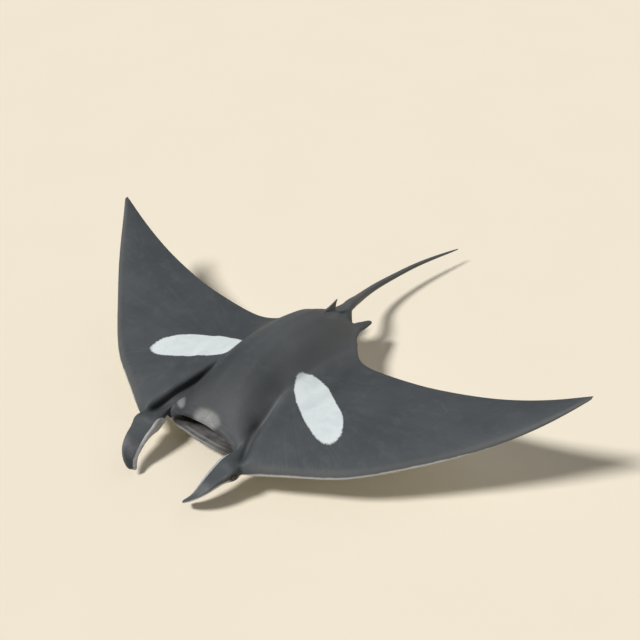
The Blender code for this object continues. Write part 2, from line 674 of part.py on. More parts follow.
def region(co):
    """Which part of the animal a separate piece is, from its box in half-spans."""
    lo = co.min(axis=0) / HALF_SPAN + (0, STAND_Y, FLOOR)
    hi = co.max(axis=0) / HALF_SPAN + (0, STAND_Y, FLOOR)
    x = (lo[0] + hi[0]) / 2
    side = "left" if x > 0 else "right"
    if abs(x) > 0.4:
        return "pectoral_fin_" + side
    if hi[1] < HORN_CUT + 0.001:
        return "cephalic_fin_" + side
    if lo[1] > TAIL_CUTS[2] - 0.001:
        return "tail_tip"
    if lo[1] > TAIL_CUTS[1] - 0.001:
        return "tail_mid"
    if lo[1] > TAIL_CUTS[0] - 0.001 and hi[1] > 0.60:
        return "tail_base"
    if lo[2] > 0.0 and abs(x) < 0.01 and hi[1] < 0.40:
        return "dorsal_fin"
    if lo[1] > 0.38:
        return "pelvic_fin_" + side
    if hi[1] < NECK_CUT + 0.001:
        return "head"
    return "trunk"


def finish(name, co, piece_faces, colour=SLATE):
    mesh = bpy.data.meshes.new(name)
    mesh.from_pydata([tuple(c) for c in co], [], piece_faces)
    mesh.update()
    ob = add_object(name, mesh)
    mesh.shade_smooth()
    mesh.set_sharp_from_angle(angle=radians(50))
    mesh.materials.append(material(name, colour, 0.55))
    return ob


for piece in pieces:
    (co, piece_faces), = split(piece)
    finish(region(co), co, piece_faces)
    bpy.data.objects.remove(piece, do_unlink=True)

# The stand's rods sit in blind sockets in the belly.
carve(bpy.data.objects["trunk"], rod_sockets)

# The head: eye sockets, then the lower jaw is freed by two walls and a back wall that end in the open mouth.
head = bpy.data.objects["head"]
w, back = JAW_CUT
half = GAP / HALF_SPAN / 2
carve(head, eye_sockets + [
    wall_x("cut_jaw_left", w, -0.42, back + half, -0.19, -0.1065),
    wall_x("cut_jaw_right", -w, -0.42, back + half, -0.19, -0.1065),
    slab("cut_jaw_back", -w - half, w + half, back, -0.19, -0.1065),
])
halves = sorted(split(head), key=lambda piece: -len(piece[0]))
bpy.data.objects.remove(head, do_unlink=True)
finish("head", *halves[0])
finish("lower_jaw", *halves[1], PALE_GREY)
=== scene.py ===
"""The looks of the reef manta display model: one smooth skin over the solids, its markings, the eyes, and the finish of the stand."""

from math import radians

import bmesh
import bpy
import numpy as np
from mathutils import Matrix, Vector


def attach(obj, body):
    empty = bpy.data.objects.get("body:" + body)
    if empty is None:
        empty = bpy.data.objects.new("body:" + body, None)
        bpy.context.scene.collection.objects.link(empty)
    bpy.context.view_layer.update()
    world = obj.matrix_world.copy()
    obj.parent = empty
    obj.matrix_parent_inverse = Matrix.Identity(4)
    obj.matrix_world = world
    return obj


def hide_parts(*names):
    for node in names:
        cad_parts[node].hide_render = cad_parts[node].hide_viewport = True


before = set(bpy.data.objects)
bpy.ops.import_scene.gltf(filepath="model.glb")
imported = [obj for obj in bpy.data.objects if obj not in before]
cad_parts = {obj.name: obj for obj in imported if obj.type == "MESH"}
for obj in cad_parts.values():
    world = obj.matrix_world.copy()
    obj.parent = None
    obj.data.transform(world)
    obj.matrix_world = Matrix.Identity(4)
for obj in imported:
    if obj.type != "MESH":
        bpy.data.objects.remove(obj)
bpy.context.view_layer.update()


# ---------------------------------------------------------------- body form
# All of the form below is written in half-spans: 1.0 is the distance from the
# midline to a wing tip. X is to the animal's left, -Y is ahead, +Z is up, and
# the zero of Y lies between the shoulder patches.

HALF_SPAN = 1.75          # metres: a disc 3.5 m wide
FLOOR = -0.193            # the floor's height in half-spans
STAND_Y = -0.050          # the stand's centre in half-spans, under the centre of mass


def spline(xs, ys, x):
    """A smooth curve through a few stations (natural tangents limited so that it never overshoots)."""
    xs, ys, x = np.asarray(xs, float), np.asarray(ys, float), np.asarray(x, float)
    d = np.diff(ys) / np.diff(xs)
    m = np.empty_like(ys)
    m[0], m[-1] = d[0], d[-1]
    h = np.diff(xs)
    for k in range(1, len(ys) - 1):
        if d[k - 1] * d[k] <= 0:
            m[k] = 0.0
        else:
            w1, w2 = 2 * h[k] + h[k - 1], h[k] + 2 * h[k - 1]
            m[k] = (w1 + w2) / (w1 / d[k - 1] + w2 / d[k])
    k = np.clip(np.searchsorted(xs, x, side="right") - 1, 0, len(xs) - 2)
    t = np.clip((x - xs[k]) / h[k], 0, 1)
    return (
        ys[k] * (1 + 2 * t) * (1 - t) ** 2
        + m[k] * h[k] * t * (1 - t) ** 2
        + ys[k + 1] * t * t * (3 - 2 * t)
        + m[k + 1] * h[k] * t * t * (t - 1)
    )


def smooth(a, b, x):
    t = np.clip((np.asarray(x, float) - a) / (b - a), 0, 1)
    return t * t * (3 - 2 * t)


# Span stations: midline, mouth (0 to 4), root of the cephalic fin (5 to 7), wing.
SPAN = [0.0, 0.043, 0.083, 0.115, 0.138, 0.154, 0.184, 0.213, 0.256, 0.325, 0.408,
        0.500, 0.605, 0.710, 0.810, 0.895, 0.955, 1.001]
# Chord stations, front to back.
CHORD = [0.0, 0.028, 0.085, 0.18, 0.30, 0.43, 0.56, 0.69, 0.79, 0.88, 0.95, 1.0]
LAST = len(CHORD) - 1
DORSAL = LAST - 2         # the chord station under the back fin
CORNER = 4                # the span station of the mouth's corner
FIN_A, FIN_C = 5, 7       # the span stations of the cephalic fin's root


def front_y(x):
    return spline([0, 0.09, 0.15, 0.19, 0.213, 0.25, 0.30, 0.40, 0.48, 0.55, 0.65, 0.75, 0.85, 0.93, 1.0],
                  [-0.338, -0.341, -0.352, -0.402, -0.410, -0.392, -0.364, -0.307, -0.260, -0.207, -0.113, -0.015, 0.090, 0.185, 0.2735], x)


def front_z(x):
    return spline([0, 0.09, 0.15, 0.208, 0.30, 0.40, 0.48, 0.55, 0.65, 0.75, 0.85, 0.93, 1.0],
                  [-0.060, -0.067, -0.096, -0.096, -0.090, -0.083, -0.074, -0.060, -0.035, -0.003, 0.045, 0.096, 0.1595], x)


def back_y(x):
    return spline([0, 0.045, 0.09, 0.125, 0.168, 0.208, 0.25, 0.31, 0.40, 0.50, 0.60, 0.70, 0.80, 0.90, 1.0],
                  [0.395, 0.385, 0.350, 0.308, 0.251, 0.2145, 0.1965, 0.188, 0.184, 0.188, 0.201, 0.219, 0.240, 0.262, 0.2855], x)


def back_z(x):
    return spline([0, 0.045, 0.125, 0.21, 0.30, 0.40, 0.50, 0.60, 0.70, 0.80, 0.90, 1.0],
                  [-0.026, -0.034, -0.046, -0.041, -0.028, -0.011, 0.005, 0.023, 0.044, 0.073, 0.113, 0.1630], x)


def lip_low(x):
    """(y, z) of the lower lip, which meets the upper one at the mouth's corner."""
    open_ = np.sqrt(max(0.0, 1 - (x / 0.142) ** 2))
    return front_y(x) - 0.006 * open_, front_z(x) - 0.084 * open_


def rise(x):
    return spline([0, 0.045, 0.09, 0.125, 0.15, 0.188, 0.25, 0.31, 0.38, 0.46, 0.54, 0.62, 0.70, 0.80, 0.90, 1.0],
                  [0.145, 0.139, 0.117, 0.087, 0.071, 0.060, 0.051, 0.043, 0.037, 0.032, 0.0275, 0.0235, 0.0195, 0.014, 0.009, 0.003], x)


def fall(x):
    return spline([0, 0.09, 0.15, 0.208, 0.25, 0.31, 0.38, 0.46, 0.54, 0.62, 0.70, 0.80, 0.90, 1.0],
                  [0.034, 0.042, 0.053, 0.046, 0.037, 0.028, 0.022, 0.019, 0.0165, 0.014, 0.0115, 0.0085, 0.006, 0.002], x)


def furrow_x(t):
    """How far from the midline the furrow between head and wing runs, along the chord."""
    return spline([0, 0.06, 0.12, 0.17, 0.21, 0.27, 0.40, 1.0], [0.196, 0.185, 0.174, 0.162, 0.152, 0.141, 0.130, 0.126], t)


def top_point(x, t):
    """A point of the back: x from the midline, t along the chord."""
    x = abs(x)
    y = front_y(x) + t * (back_y(x) - front_y(x))
    z = front_z(x) + t * (back_z(x) - front_z(x))
    peak = spline([0, 0.15, 0.30, 1.0], [0.50, 0.47, 0.36, 0.34], x)
    blunt = spline([0, 0.09, 0.17, 0.25, 1.0], [0.92, 0.84, 0.50, 0.50, 0.52], x)
    if t < peak:
        s = (1 - (1 - t / peak) ** 2) ** blunt
    else:
        s = 1 - ((t - peak) / (1 - peak)) ** spline([0, 0.12, 0.25, 1.0], [2.1, 2.0, 1.75, 1.75], x)
    edge = 0.0016 * (1 - abs(2 * t - 1) ** 8) if 0 < t < 1 else 0.0
    z += rise(x) * s + edge
    # the furrow between the head and the root of the wing
    line = furrow_x(t)
    off = (x - line) / (0.030 if x < line else 0.015)
    z -= 0.031 * np.exp(-off * off) * smooth(0.01, 0.08, t) * (1 - smooth(0.22, 0.42, t))
    return y, z


def low_point(x, t):
    """A point of the belly."""
    x = abs(x)
    y0, z0 = lip_low(x)
    y = y0 + t * (back_y(x) - y0)
    z = z0 + t * (back_z(x) - z0)
    peak = spline([0, 0.15, 0.30, 1.0], [0.36, 0.36, 0.34, 0.34], x)
    if t < peak:
        s = (1 - (1 - t / peak) ** 2) ** 0.55
    else:
        s = 1 - ((t - peak) / (1 - peak)) ** 1.6
    edge = 0.0016 * (1 - abs(2 * t - 1) ** 8) if 0 < t < 1 else 0.0
    return y, z - fall(x) * s - edge


# The mouth's lining in the section plane: distance in from the lip and share of the gape, roof then floor.
LINING = [(0.010, 0.10), (0.050, 0.02), (0.110, 0.08), (0.150, 0.50), (0.110, 0.86), (0.050, 0.93), (0.006, 0.86)]


def lining_point(x, k):
    x = abs(x)
    y0, z0 = front_y(x), front_z(x)
    y1, z1 = lip_low(x)
    deep = np.sqrt(max(0.0, 1 - (x / 0.153) ** 2))
    inward, share = LINING[k]
    y = y0 + (y1 - y0) * share + inward * (0.25 + 0.75 * deep)
    return y, z0 + (z1 - z0) * share


def lobe(rows, ring0):
    """Rings of a fin or the tail. rows: (centre, half-width vector, half-thickness vector); ring0 gives
    each ring vertex's place on a flattened round, as (across, through)."""
    rings = []
    for centre, wide, thick in rows:
        c, w, h = (np.array(v, float) for v in (centre, wide, thick))
        rings.append([tuple(c + a * w + b * h) for a, b in ring0])
    return rings


# Where the eight corners of a root patch go on a fin's section, starting at the inner top corner.
ROUND8 = [(-0.74, 0.78), (0.0, 1.0), (0.74, 0.78), (1.0, 0.0), (0.74, -0.78), (0.0, -1.0), (-0.74, -0.78), (-1.0, 0.0)]
BLADE8 = [(-0.90, 0.80), (0.0, 1.0), (0.80, 0.72), (1.0, 0.0), (0.80, -0.72), (0.0, -1.0), (-0.90, -0.80), (-1.0, 0.0)]


def cephalic_rows():
    """The unrolled head fin: ahead, then down and inwards at its tip."""
    # centre x, y, z, half-width, half-thickness, roll of the blade (degrees, outer edge up), heading (degrees, inwards)
    table = [
        (0.1750, -0.412, -0.0940, 0.0395, 0.0255, 4, 16),
        (0.1715, -0.434, -0.0965, 0.0385, 0.0205, 6, 10),
        (0.1685, -0.458, -0.1010, 0.0365, 0.0160, 10, 10),
        (0.1625, -0.487, -0.1105, 0.0340, 0.0130, 15, 17),
        (0.1535, -0.514, -0.1240, 0.0305, 0.0110, 20, 30),
        (0.1400, -0.536, -0.1400, 0.0250, 0.0085, 26, 46),
        (0.1235, -0.549, -0.1545, 0.0200, 0.0060, 30, 58),
        (0.1135, -0.553, -0.1620, 0.0140, 0.0040, 30, 64),
    ]
    rows = []
    for x, y, z, wide, thick, roll, heading in table:
        r, h = np.radians(roll), np.radians(heading)
        across = np.array([np.cos(r) * np.cos(h), -np.cos(r) * np.sin(h), np.sin(r)])
        through = np.array([-np.sin(r) * np.cos(h), np.sin(r) * np.sin(h), np.cos(r)])
        rows.append(((x, y, z), across * wide, through * thick))
    return rows


def tail_middle(y):
    """The tail's centre line: it drops behind the trunk, then levels, bowed to the animal's right."""
    x = spline([0.40, 0.44, 0.50, 0.60, 0.72, 0.86, 1.00, 1.18], [0, -0.0075, -0.0245, -0.0535, -0.0645, -0.0567, -0.0360, 0], y)
    z = spline([0.39, 0.42, 0.445, 0.50, 0.60, 0.70, 0.80, 0.90, 1.00, 1.18],
               [-0.0170, -0.0160, -0.0190, -0.0375, -0.0695, -0.0860, -0.0960, -0.1020, -0.1090, -0.1255], y)
    return np.array([float(x), y, float(z)])


def tail_rows():
    rows = []
    for y in (0.408, 0.432, 0.466, 0.520, 0.600, 0.700, 0.810, 0.930, 1.050, 1.140, 1.178):
        along = tail_middle(y + 0.01) - tail_middle(y - 0.01)
        along /= np.linalg.norm(along)
        across = np.array([along[1], -along[0], 0.0])
        across /= np.linalg.norm(across)
        w = spline([0.40, 0.44, 0.50, 0.60, 0.80, 1.0, 1.15, 1.18], [0.0245, 0.0200, 0.0164, 0.0135, 0.0100, 0.0069, 0.0034, 0.0016], y)
        h = spline([0.40, 0.44, 0.50, 0.60, 0.80, 1.0, 1.15, 1.18], [0.0190, 0.0175, 0.0156, 0.0130, 0.0097, 0.0068, 0.0034, 0.0016], y)
        rows.append((tail_middle(y), across * w, np.cross(across, along) * h))
    return rows


def pelvic_rows():
    return [
        ((0.0740, 0.372, -0.0500), (0.0250, -0.010, 0), (0, 0, 0.0120)),
        ((0.0710, 0.395, -0.0570), (0.0225, -0.006, 0), (0, 0, 0.0085)),
        ((0.0690, 0.418, -0.0640), (0.0198, -0.003, 0), (0, 0, 0.0065)),
        ((0.0670, 0.440, -0.0705), (0.0162, 0.000, 0), (0, 0, 0.0052)),
        ((0.0645, 0.459, -0.0755), (0.0118, 0.002, 0), (0, 0, 0.0040)),
        ((0.0630, 0.469, -0.0780), (0.0045, 0.001, 0), (0, 0, 0.0026)),
    ]


def dorsal_rows():
    """The small back fin: rows go up; across is along the body, through is its thickness."""
    return [
        ((0, 0.304, 0.0300), (0, 0.0360, -0.0110), (-0.0105, 0, 0)),
        ((0, 0.311, 0.0350), (0, 0.0310, -0.0060), (-0.0060, 0, 0)),
        ((0, 0.322, 0.0425), (0, 0.0230, -0.0020), (-0.0042, 0, 0)),
        ((0, 0.335, 0.0490), (0, 0.0150, 0.0010), (-0.0033, 0, 0)),
        ((0, 0.345, 0.0535), (0, 0.0070, 0.0015), (-0.0022, 0, 0)),
    ]


def cage():
    """The animal's control cage, one closed skin: (points, faces, kinds, marks) in half-spans. kinds names each point's
    part, and marks says how far it lies from the edge between back (+) and belly (-), in metres."""
    points, kinds, marks, index = [], [], [], {}

    def put(key, p, kind, mark=0.0):
        index[key] = len(points)
        points.append(tuple(float(v) for v in p))
        kinds.append(kind)
        marks.append(mark)

    def inset(x, t):
        return min(t, 1 - t) * float(back_y(x) - front_y(x)) * HALF_SPAN

    n = len(SPAN) - 1
    for i in range(-n, n + 1):
        side, x = (1 if i >= 0 else -1), SPAN[abs(i)]
        mouth = abs(i) <= CORNER
        for j in range(LAST + 1):
            t = CHORD[j]
            y, z = top_point(x, t)
            if not ((abs(i) == 6 and j == 0) or (i == 0 and j == LAST) or (abs(i) == 2 and j == LAST) or (i == 0 and j == DORSAL)):
                put(("t", i, j), (side * x, y, z), "disc", inset(x, t) + 0.014 * (t == 0 and mouth))
            if 0 < j < LAST or (j == 0 and mouth):
                y, z = low_point(x, t)
                put(("b", i, j), (side * x, y, z), "disc", -inset(x, t) - 0.02 * (t == 0))
        if mouth:
            for k in range(len(LINING)):
                y, z = lining_point(x, k)
                put(("m", i, k), (side * x * (1.0 - 0.04 * (abs(i) == CORNER)), y, z), "mouth", -0.02)
    faces = []

    def at(row, i, j):
        if row == "b" and (j == LAST or (j == 0 and abs(i) > CORNER)):
            row = "t"
        return index.get((row, i, j), -1)

    def face(*ids):
        if min(ids) >= 0:
            faces.append(ids)

    for i in range(-n, n):
        for j in range(LAST):
            face(at("t", i, j), at("t", i + 1, j), at("t", i + 1, j + 1), at("t", i, j + 1))
            face(at("b", i, j), at("b", i, j + 1), at("b", i + 1, j + 1), at("b", i + 1, j))
    # the mouth's lining
    m = len(LINING)
    for i in range(-CORNER, CORNER):
        loops = []
        for c in (i, i + 1):
            loops.append([index[("t", c, 0)]] + [index[("m", c, k)] for k in range(m)] + [index[("b", c, 0)]])
        for k in range(m + 1):
            face(loops[0][k], loops[0][k + 1], loops[1][k + 1], loops[1][k])
    for s in (-1, 1):
        c = s * CORNER
        turn = (lambda ids: ids) if s > 0 else (lambda ids: ids[::-1])
        U, L = index[("t", c, 0)], index[("b", c, 0)]
        k = [index[("m", c, q)] for q in range(m)]
        face(*turn((U, k[0], k[6], L)))
        face(*turn((k[0], k[1], k[5], k[6])))
        face(*turn((k[1], k[2], k[4], k[5])))
        face(*turn((k[2], k[3], k[4])))
        face(*turn((U, L, at("t", s * (CORNER + 1), 0))))
        # the wing tip's cap
        e = s * n
        top = [at("t", e, j) for j in range(LAST + 1)]
        low = [top[0]] + [index[("b", e, j)] for j in range(1, LAST)] + [top[-1]]
        for j in range(LAST):
            ids = (top[j], low[j], low[j + 1], top[j + 1])
            ids = tuple(dict.fromkeys(ids))
            face(*turn(ids))

    def grow(root, rows, kind, s, ring0=ROUND8):
        """Lengthens a ring of root points into a fin and closes its end."""
        last = root
        for r, ring in enumerate(lobe(rows, ring0)):
            ids = []
            for q, p in enumerate(ring):
                put((kind, s, r, q), (p[0] * s, p[1], p[2]), kind, 0.022 * ring0[q][1] if kind != "dorsal" else 0.05)
                ids.append(index[(kind, s, r, q)])
            for q in range(8):
                a, b = last[q], last[(q + 1) % 8]
                c, d = ids[(q + 1) % 8], ids[q]
                face(*((a, b, c, d) if s > 0 else (d, c, b, a)))
            last = ids
        centre, wide, _ = rows[-1]
        put((kind, s, "end"), (centre[0] * s, centre[1], centre[2]), kind, 0.05 if kind == "dorsal" else 0.0)
        e = index[(kind, s, "end")]
        for q in (1, 3, 5, 7):
            a, b, c = last[q], last[(q + 1) % 8], last[(q + 2) % 8]
            face(*((e, a, b, c) if s > 0 else (e, c, b, a)))

    for s in (1, -1):
        a, b, c = s * FIN_A, s * (FIN_A + 1), s * FIN_C
        grow([at("t", a, 1), at("t", b, 1), at("t", c, 1), at("t", c, 0), at("b", c, 1), at("b", b, 1), at("b", a, 1), at("t", a, 0)],
             cephalic_rows(), "cephalic", s, ring0=BLADE8)
        a, b, c = s * 1, s * 2, s * 3
        j = LAST - 1
        grow([at("t", c, j), at("t", b, j), at("t", a, j), at("t", a, LAST), at("b", a, j), at("b", b, j), at("b", c, j), at("t", c, LAST)],
             [(p, tuple(-v for v in w), h) for p, w, h in pelvic_rows()], "pelvic", s)
    j = LAST - 1
    grow([at("t", 1, j), at("t", 0, j), at("t", -1, j), at("t", -1, LAST), at("b", -1, j), at("b", 0, j), at("b", 1, j), at("t", 1, LAST)],
         [(p, tuple(-v for v in w), h) for p, w, h in tail_rows()], "tail", 1)
    j = DORSAL
    grow([at("t", -1, j - 1), at("t", 0, j - 1), at("t", 1, j - 1), at("t", 1, j), at("t", 1, j + 1), at("t", 0, j + 1), at("t", -1, j + 1), at("t", -1, j)],
         dorsal_rows(), "dorsal", 1, ring0=[(-0.72, 0.8), (-1.0, 0.0), (-0.72, -0.8), (0.0, -1.0), (0.72, -0.8), (1.0, 0.0), (0.72, 0.8), (0.0, 1.0)])
    return np.array(points), faces, kinds, marks


def settle(points, faces, wanted, hold, rounds=14):
    """Moves the cage so that its smooth surface passes through the wanted points (hold: how firmly, 0 to 1)."""
    edges, edge_of = [], []
    found = {}
    for f in faces:
        row = []
        for a, b in zip(f, f[1:] + f[:1]):
            key = (a, b) if a < b else (b, a)
            if key not in found:
                found[key] = len(edges)
                edges.append(key)
            row.append(found[key])
        edge_of.append(row)
    edges = np.array(edges)
    corner = np.array([v for f in faces for v in f])
    of_face = np.array([k for k, f in enumerate(faces) for _ in f])
    of_edge = np.array([e for row in edge_of for e in row])
    sides = np.bincount(of_face)[:, None]
    n = np.bincount(corner)[:, None].astype(float)

    def gather(index, values, size):
        out = np.zeros((size, 3))
        np.add.at(out, index, values)
        return out

    cage_ = points.copy()
    for _ in range(rounds):
        face_point = gather(of_face, cage_[corner], len(faces)) / sides
        middle = (cage_[edges[:, 0]] + cage_[edges[:, 1]]) / 2
        edge_point = middle / 2 + gather(of_edge, face_point[of_face], len(edges)) / 4
        near_faces = gather(corner, face_point[of_face], len(cage_))
        near_middles = gather(edges.ravel(), np.repeat(middle, 2, axis=0), len(cage_))
        near_edges = gather(edges.ravel(), np.repeat(edge_point, 2, axis=0), len(cage_))
        moved = (near_faces / n + 2 * near_middles / n + (n - 3) * cage_) / n
        surface = (n * n * moved + 4 * near_edges + near_faces) / (n * (n + 5))
        cage_ += hold[:, None] * (wanted - surface)
    return cage_


def firmness(points, kinds):
    hold = np.zeros(len(points))
    for k, (p, kind) in enumerate(zip(points, kinds)):
        if kind == "disc":
            hold[k] = 0.35 + 0.65 * smooth(0.21, 0.27, abs(p[0])) - smooth(0.93, 0.97, abs(p[0]))
        elif kind == "mouth":
            hold[k] = 0.0
        else:
            hold[k] = 0.7
    return hold


# ---------------------------------------------------------------- the skin's mesh

def metres(p):
    p = np.asarray(p, float)
    return np.stack([p[..., 0], p[..., 1] - STAND_Y, p[..., 2] - FLOOR], -1) * HALF_SPAN


def half_spans(p):
    p = np.asarray(p, float) / HALF_SPAN
    return p[..., 0], p[..., 1] + STAND_Y, p[..., 2] + FLOOR


EYE = metres((0.2065, -0.4320, -0.0925))      # the left eye's centre
EYE_RADIUS = 0.0240
GAZE = Vector((0.93, -0.30, 0.10)).normalized()
GILLS = 5


def gill(k):
    """The left side's k-th gill slit, inner end, bow and outer end, as (x, y) in half-spans."""
    y = -0.262 + 0.0525 * k
    inner = (0.046 - 0.0025 * k, y + 0.010)
    outer = (0.146 - 0.0125 * k, y - 0.012)
    return inner, outer, 0.009


def gill_coordinates(x, y, k):
    """Along the slit (0 to 1) and behind it (metres) for points x from the midline."""
    (xa, ya), (xb, yb), bow = gill(k)
    along = (x - xa) / (xb - xa)
    line = ya + (yb - ya) * along + bow * 4 * along * (1 - along)
    return along, (y - line) * HALF_SPAN


def refine(bm, wanted, times=1):
    """Splits each face near a wanted place into four, and lets the new points follow the curve."""
    for _ in range(times):
        faces = [f for f in bm.faces if wanted(f.calc_center_median())]
        edges = list({e for f in faces for e in f.edges})
        bmesh.ops.subdivide_edges(bm, edges=edges, cuts=1, use_grid_fill=True)
    soft = list({v for f in bm.faces if wanted(f.calc_center_median()) for v in f.verts})
    for _ in range(3 * times):
        bmesh.ops.smooth_vert(bm, verts=soft, factor=0.5, use_axis_x=True, use_axis_y=True, use_axis_z=True)


def near_eye(radius):
    def test(c):
        return (abs(c.x) - EYE[0]) ** 2 + (c.y - EYE[1]) ** 2 + (c.z - EYE[2]) ** 2 < radius * radius
    return test


def near_gills(c):
    x, y, z = half_spans(tuple(c))
    if not (-0.30 < y < -0.01 and 0.025 < abs(x) < 0.165 and z < -0.115):
        return False
    for k in range(GILLS):
        along, behind = gill_coordinates(abs(x), y, k)
        if -0.12 < along < 1.12 and -0.020 < behind < 0.034:
            return True
    return False


def near_lips(c):
    x, y, z = half_spans(tuple(c))
    return abs(x) < 0.17 and y < front_y(min(abs(x), 0.17)) + 0.030 and -0.175 < z < -0.045 and abs(x) < 0.165


def skin_mesh():
    points, faces, kinds, marks = cage()
    points = settle(points, faces, points, firmness(points, kinds))
    mesh = bpy.data.meshes.new("skin_cage")
    mesh.from_pydata([tuple(p) for p in metres(points)], [], faces)
    layers = {
        "back": np.array(marks, float),
        "lining": np.array([k == "mouth" for k in kinds], float),
        "horn": np.array([k == "cephalic" for k in kinds], float),
        "tail": np.array([k == "tail" for k in kinds], float),
    }
    for name, values in layers.items():
        mesh.attributes.new(name, "FLOAT", "POINT").data.foreach_set("value", values.astype(np.float32))
    bm = bmesh.new()
    bm.from_mesh(mesh)
    bmesh.ops.recalc_face_normals(bm, faces=bm.faces)
    bm.to_mesh(mesh)
    bm.free()
    ob = bpy.data.objects.new("cage", mesh)
    bpy.context.scene.collection.objects.link(ob)
    sub = ob.modifiers.new("smooth", "SUBSURF")
    sub.levels = sub.render_levels = 3
    sub.use_limit_surface = True
    bpy.context.view_layer.update()
    whole = bpy.data.meshes.new_from_object(ob.evaluated_get(bpy.context.evaluated_depsgraph_get()))
    bpy.data.objects.remove(ob)
    bpy.data.meshes.remove(mesh)
    bm = bmesh.new()
    bm.from_mesh(whole)
    refine(bm, near_lips)
    refine(bm, near_gills, 2)
    refine(bm, near_eye(0.080), 2)
    refine(bm, near_eye(0.034))
    bm.to_mesh(whole)
    bm.free()
    return whole


def arrays(mesh):
    n = len(mesh.vertices)
    co, normal = np.empty(n * 3, np.float32), np.empty(n * 3, np.float32)
    mesh.vertices.foreach_get("co", co)
    mesh.vertex_normals.foreach_get("vector", normal)
    return co.reshape(-1, 3).astype(float), normal.reshape(-1, 3).astype(float)


def read(mesh, name):
    values = np.empty(len(mesh.vertices), np.float32)
    mesh.attributes[name].data.foreach_get("value", values)
    return values.astype(float)


def write(mesh, name, values):
    layer = mesh.attributes.get(name) or mesh.attributes.new(name, "FLOAT", "POINT")
    layer.data.foreach_set("value", np.asarray(values, np.float32))


def bell(x, width):
    return np.exp(-(x / width) ** 2)


def ramp01(a, b, x):
    """0 below a, 1 above b, and a smooth rise between."""
    return smooth(a, b, x)


def eye_frame(side):
    """Axes of one eye: out along the gaze, back along the body, and up."""
    out = np.array([GAZE.x * side, GAZE.y, GAZE.z])
    up = np.array([0, 0, 1.0])
    up -= out * (up @ out)
    up /= np.linalg.norm(up)
    aft = np.cross(up, out)
    if aft[1] < 0:
        aft = -aft
    return out, aft, up


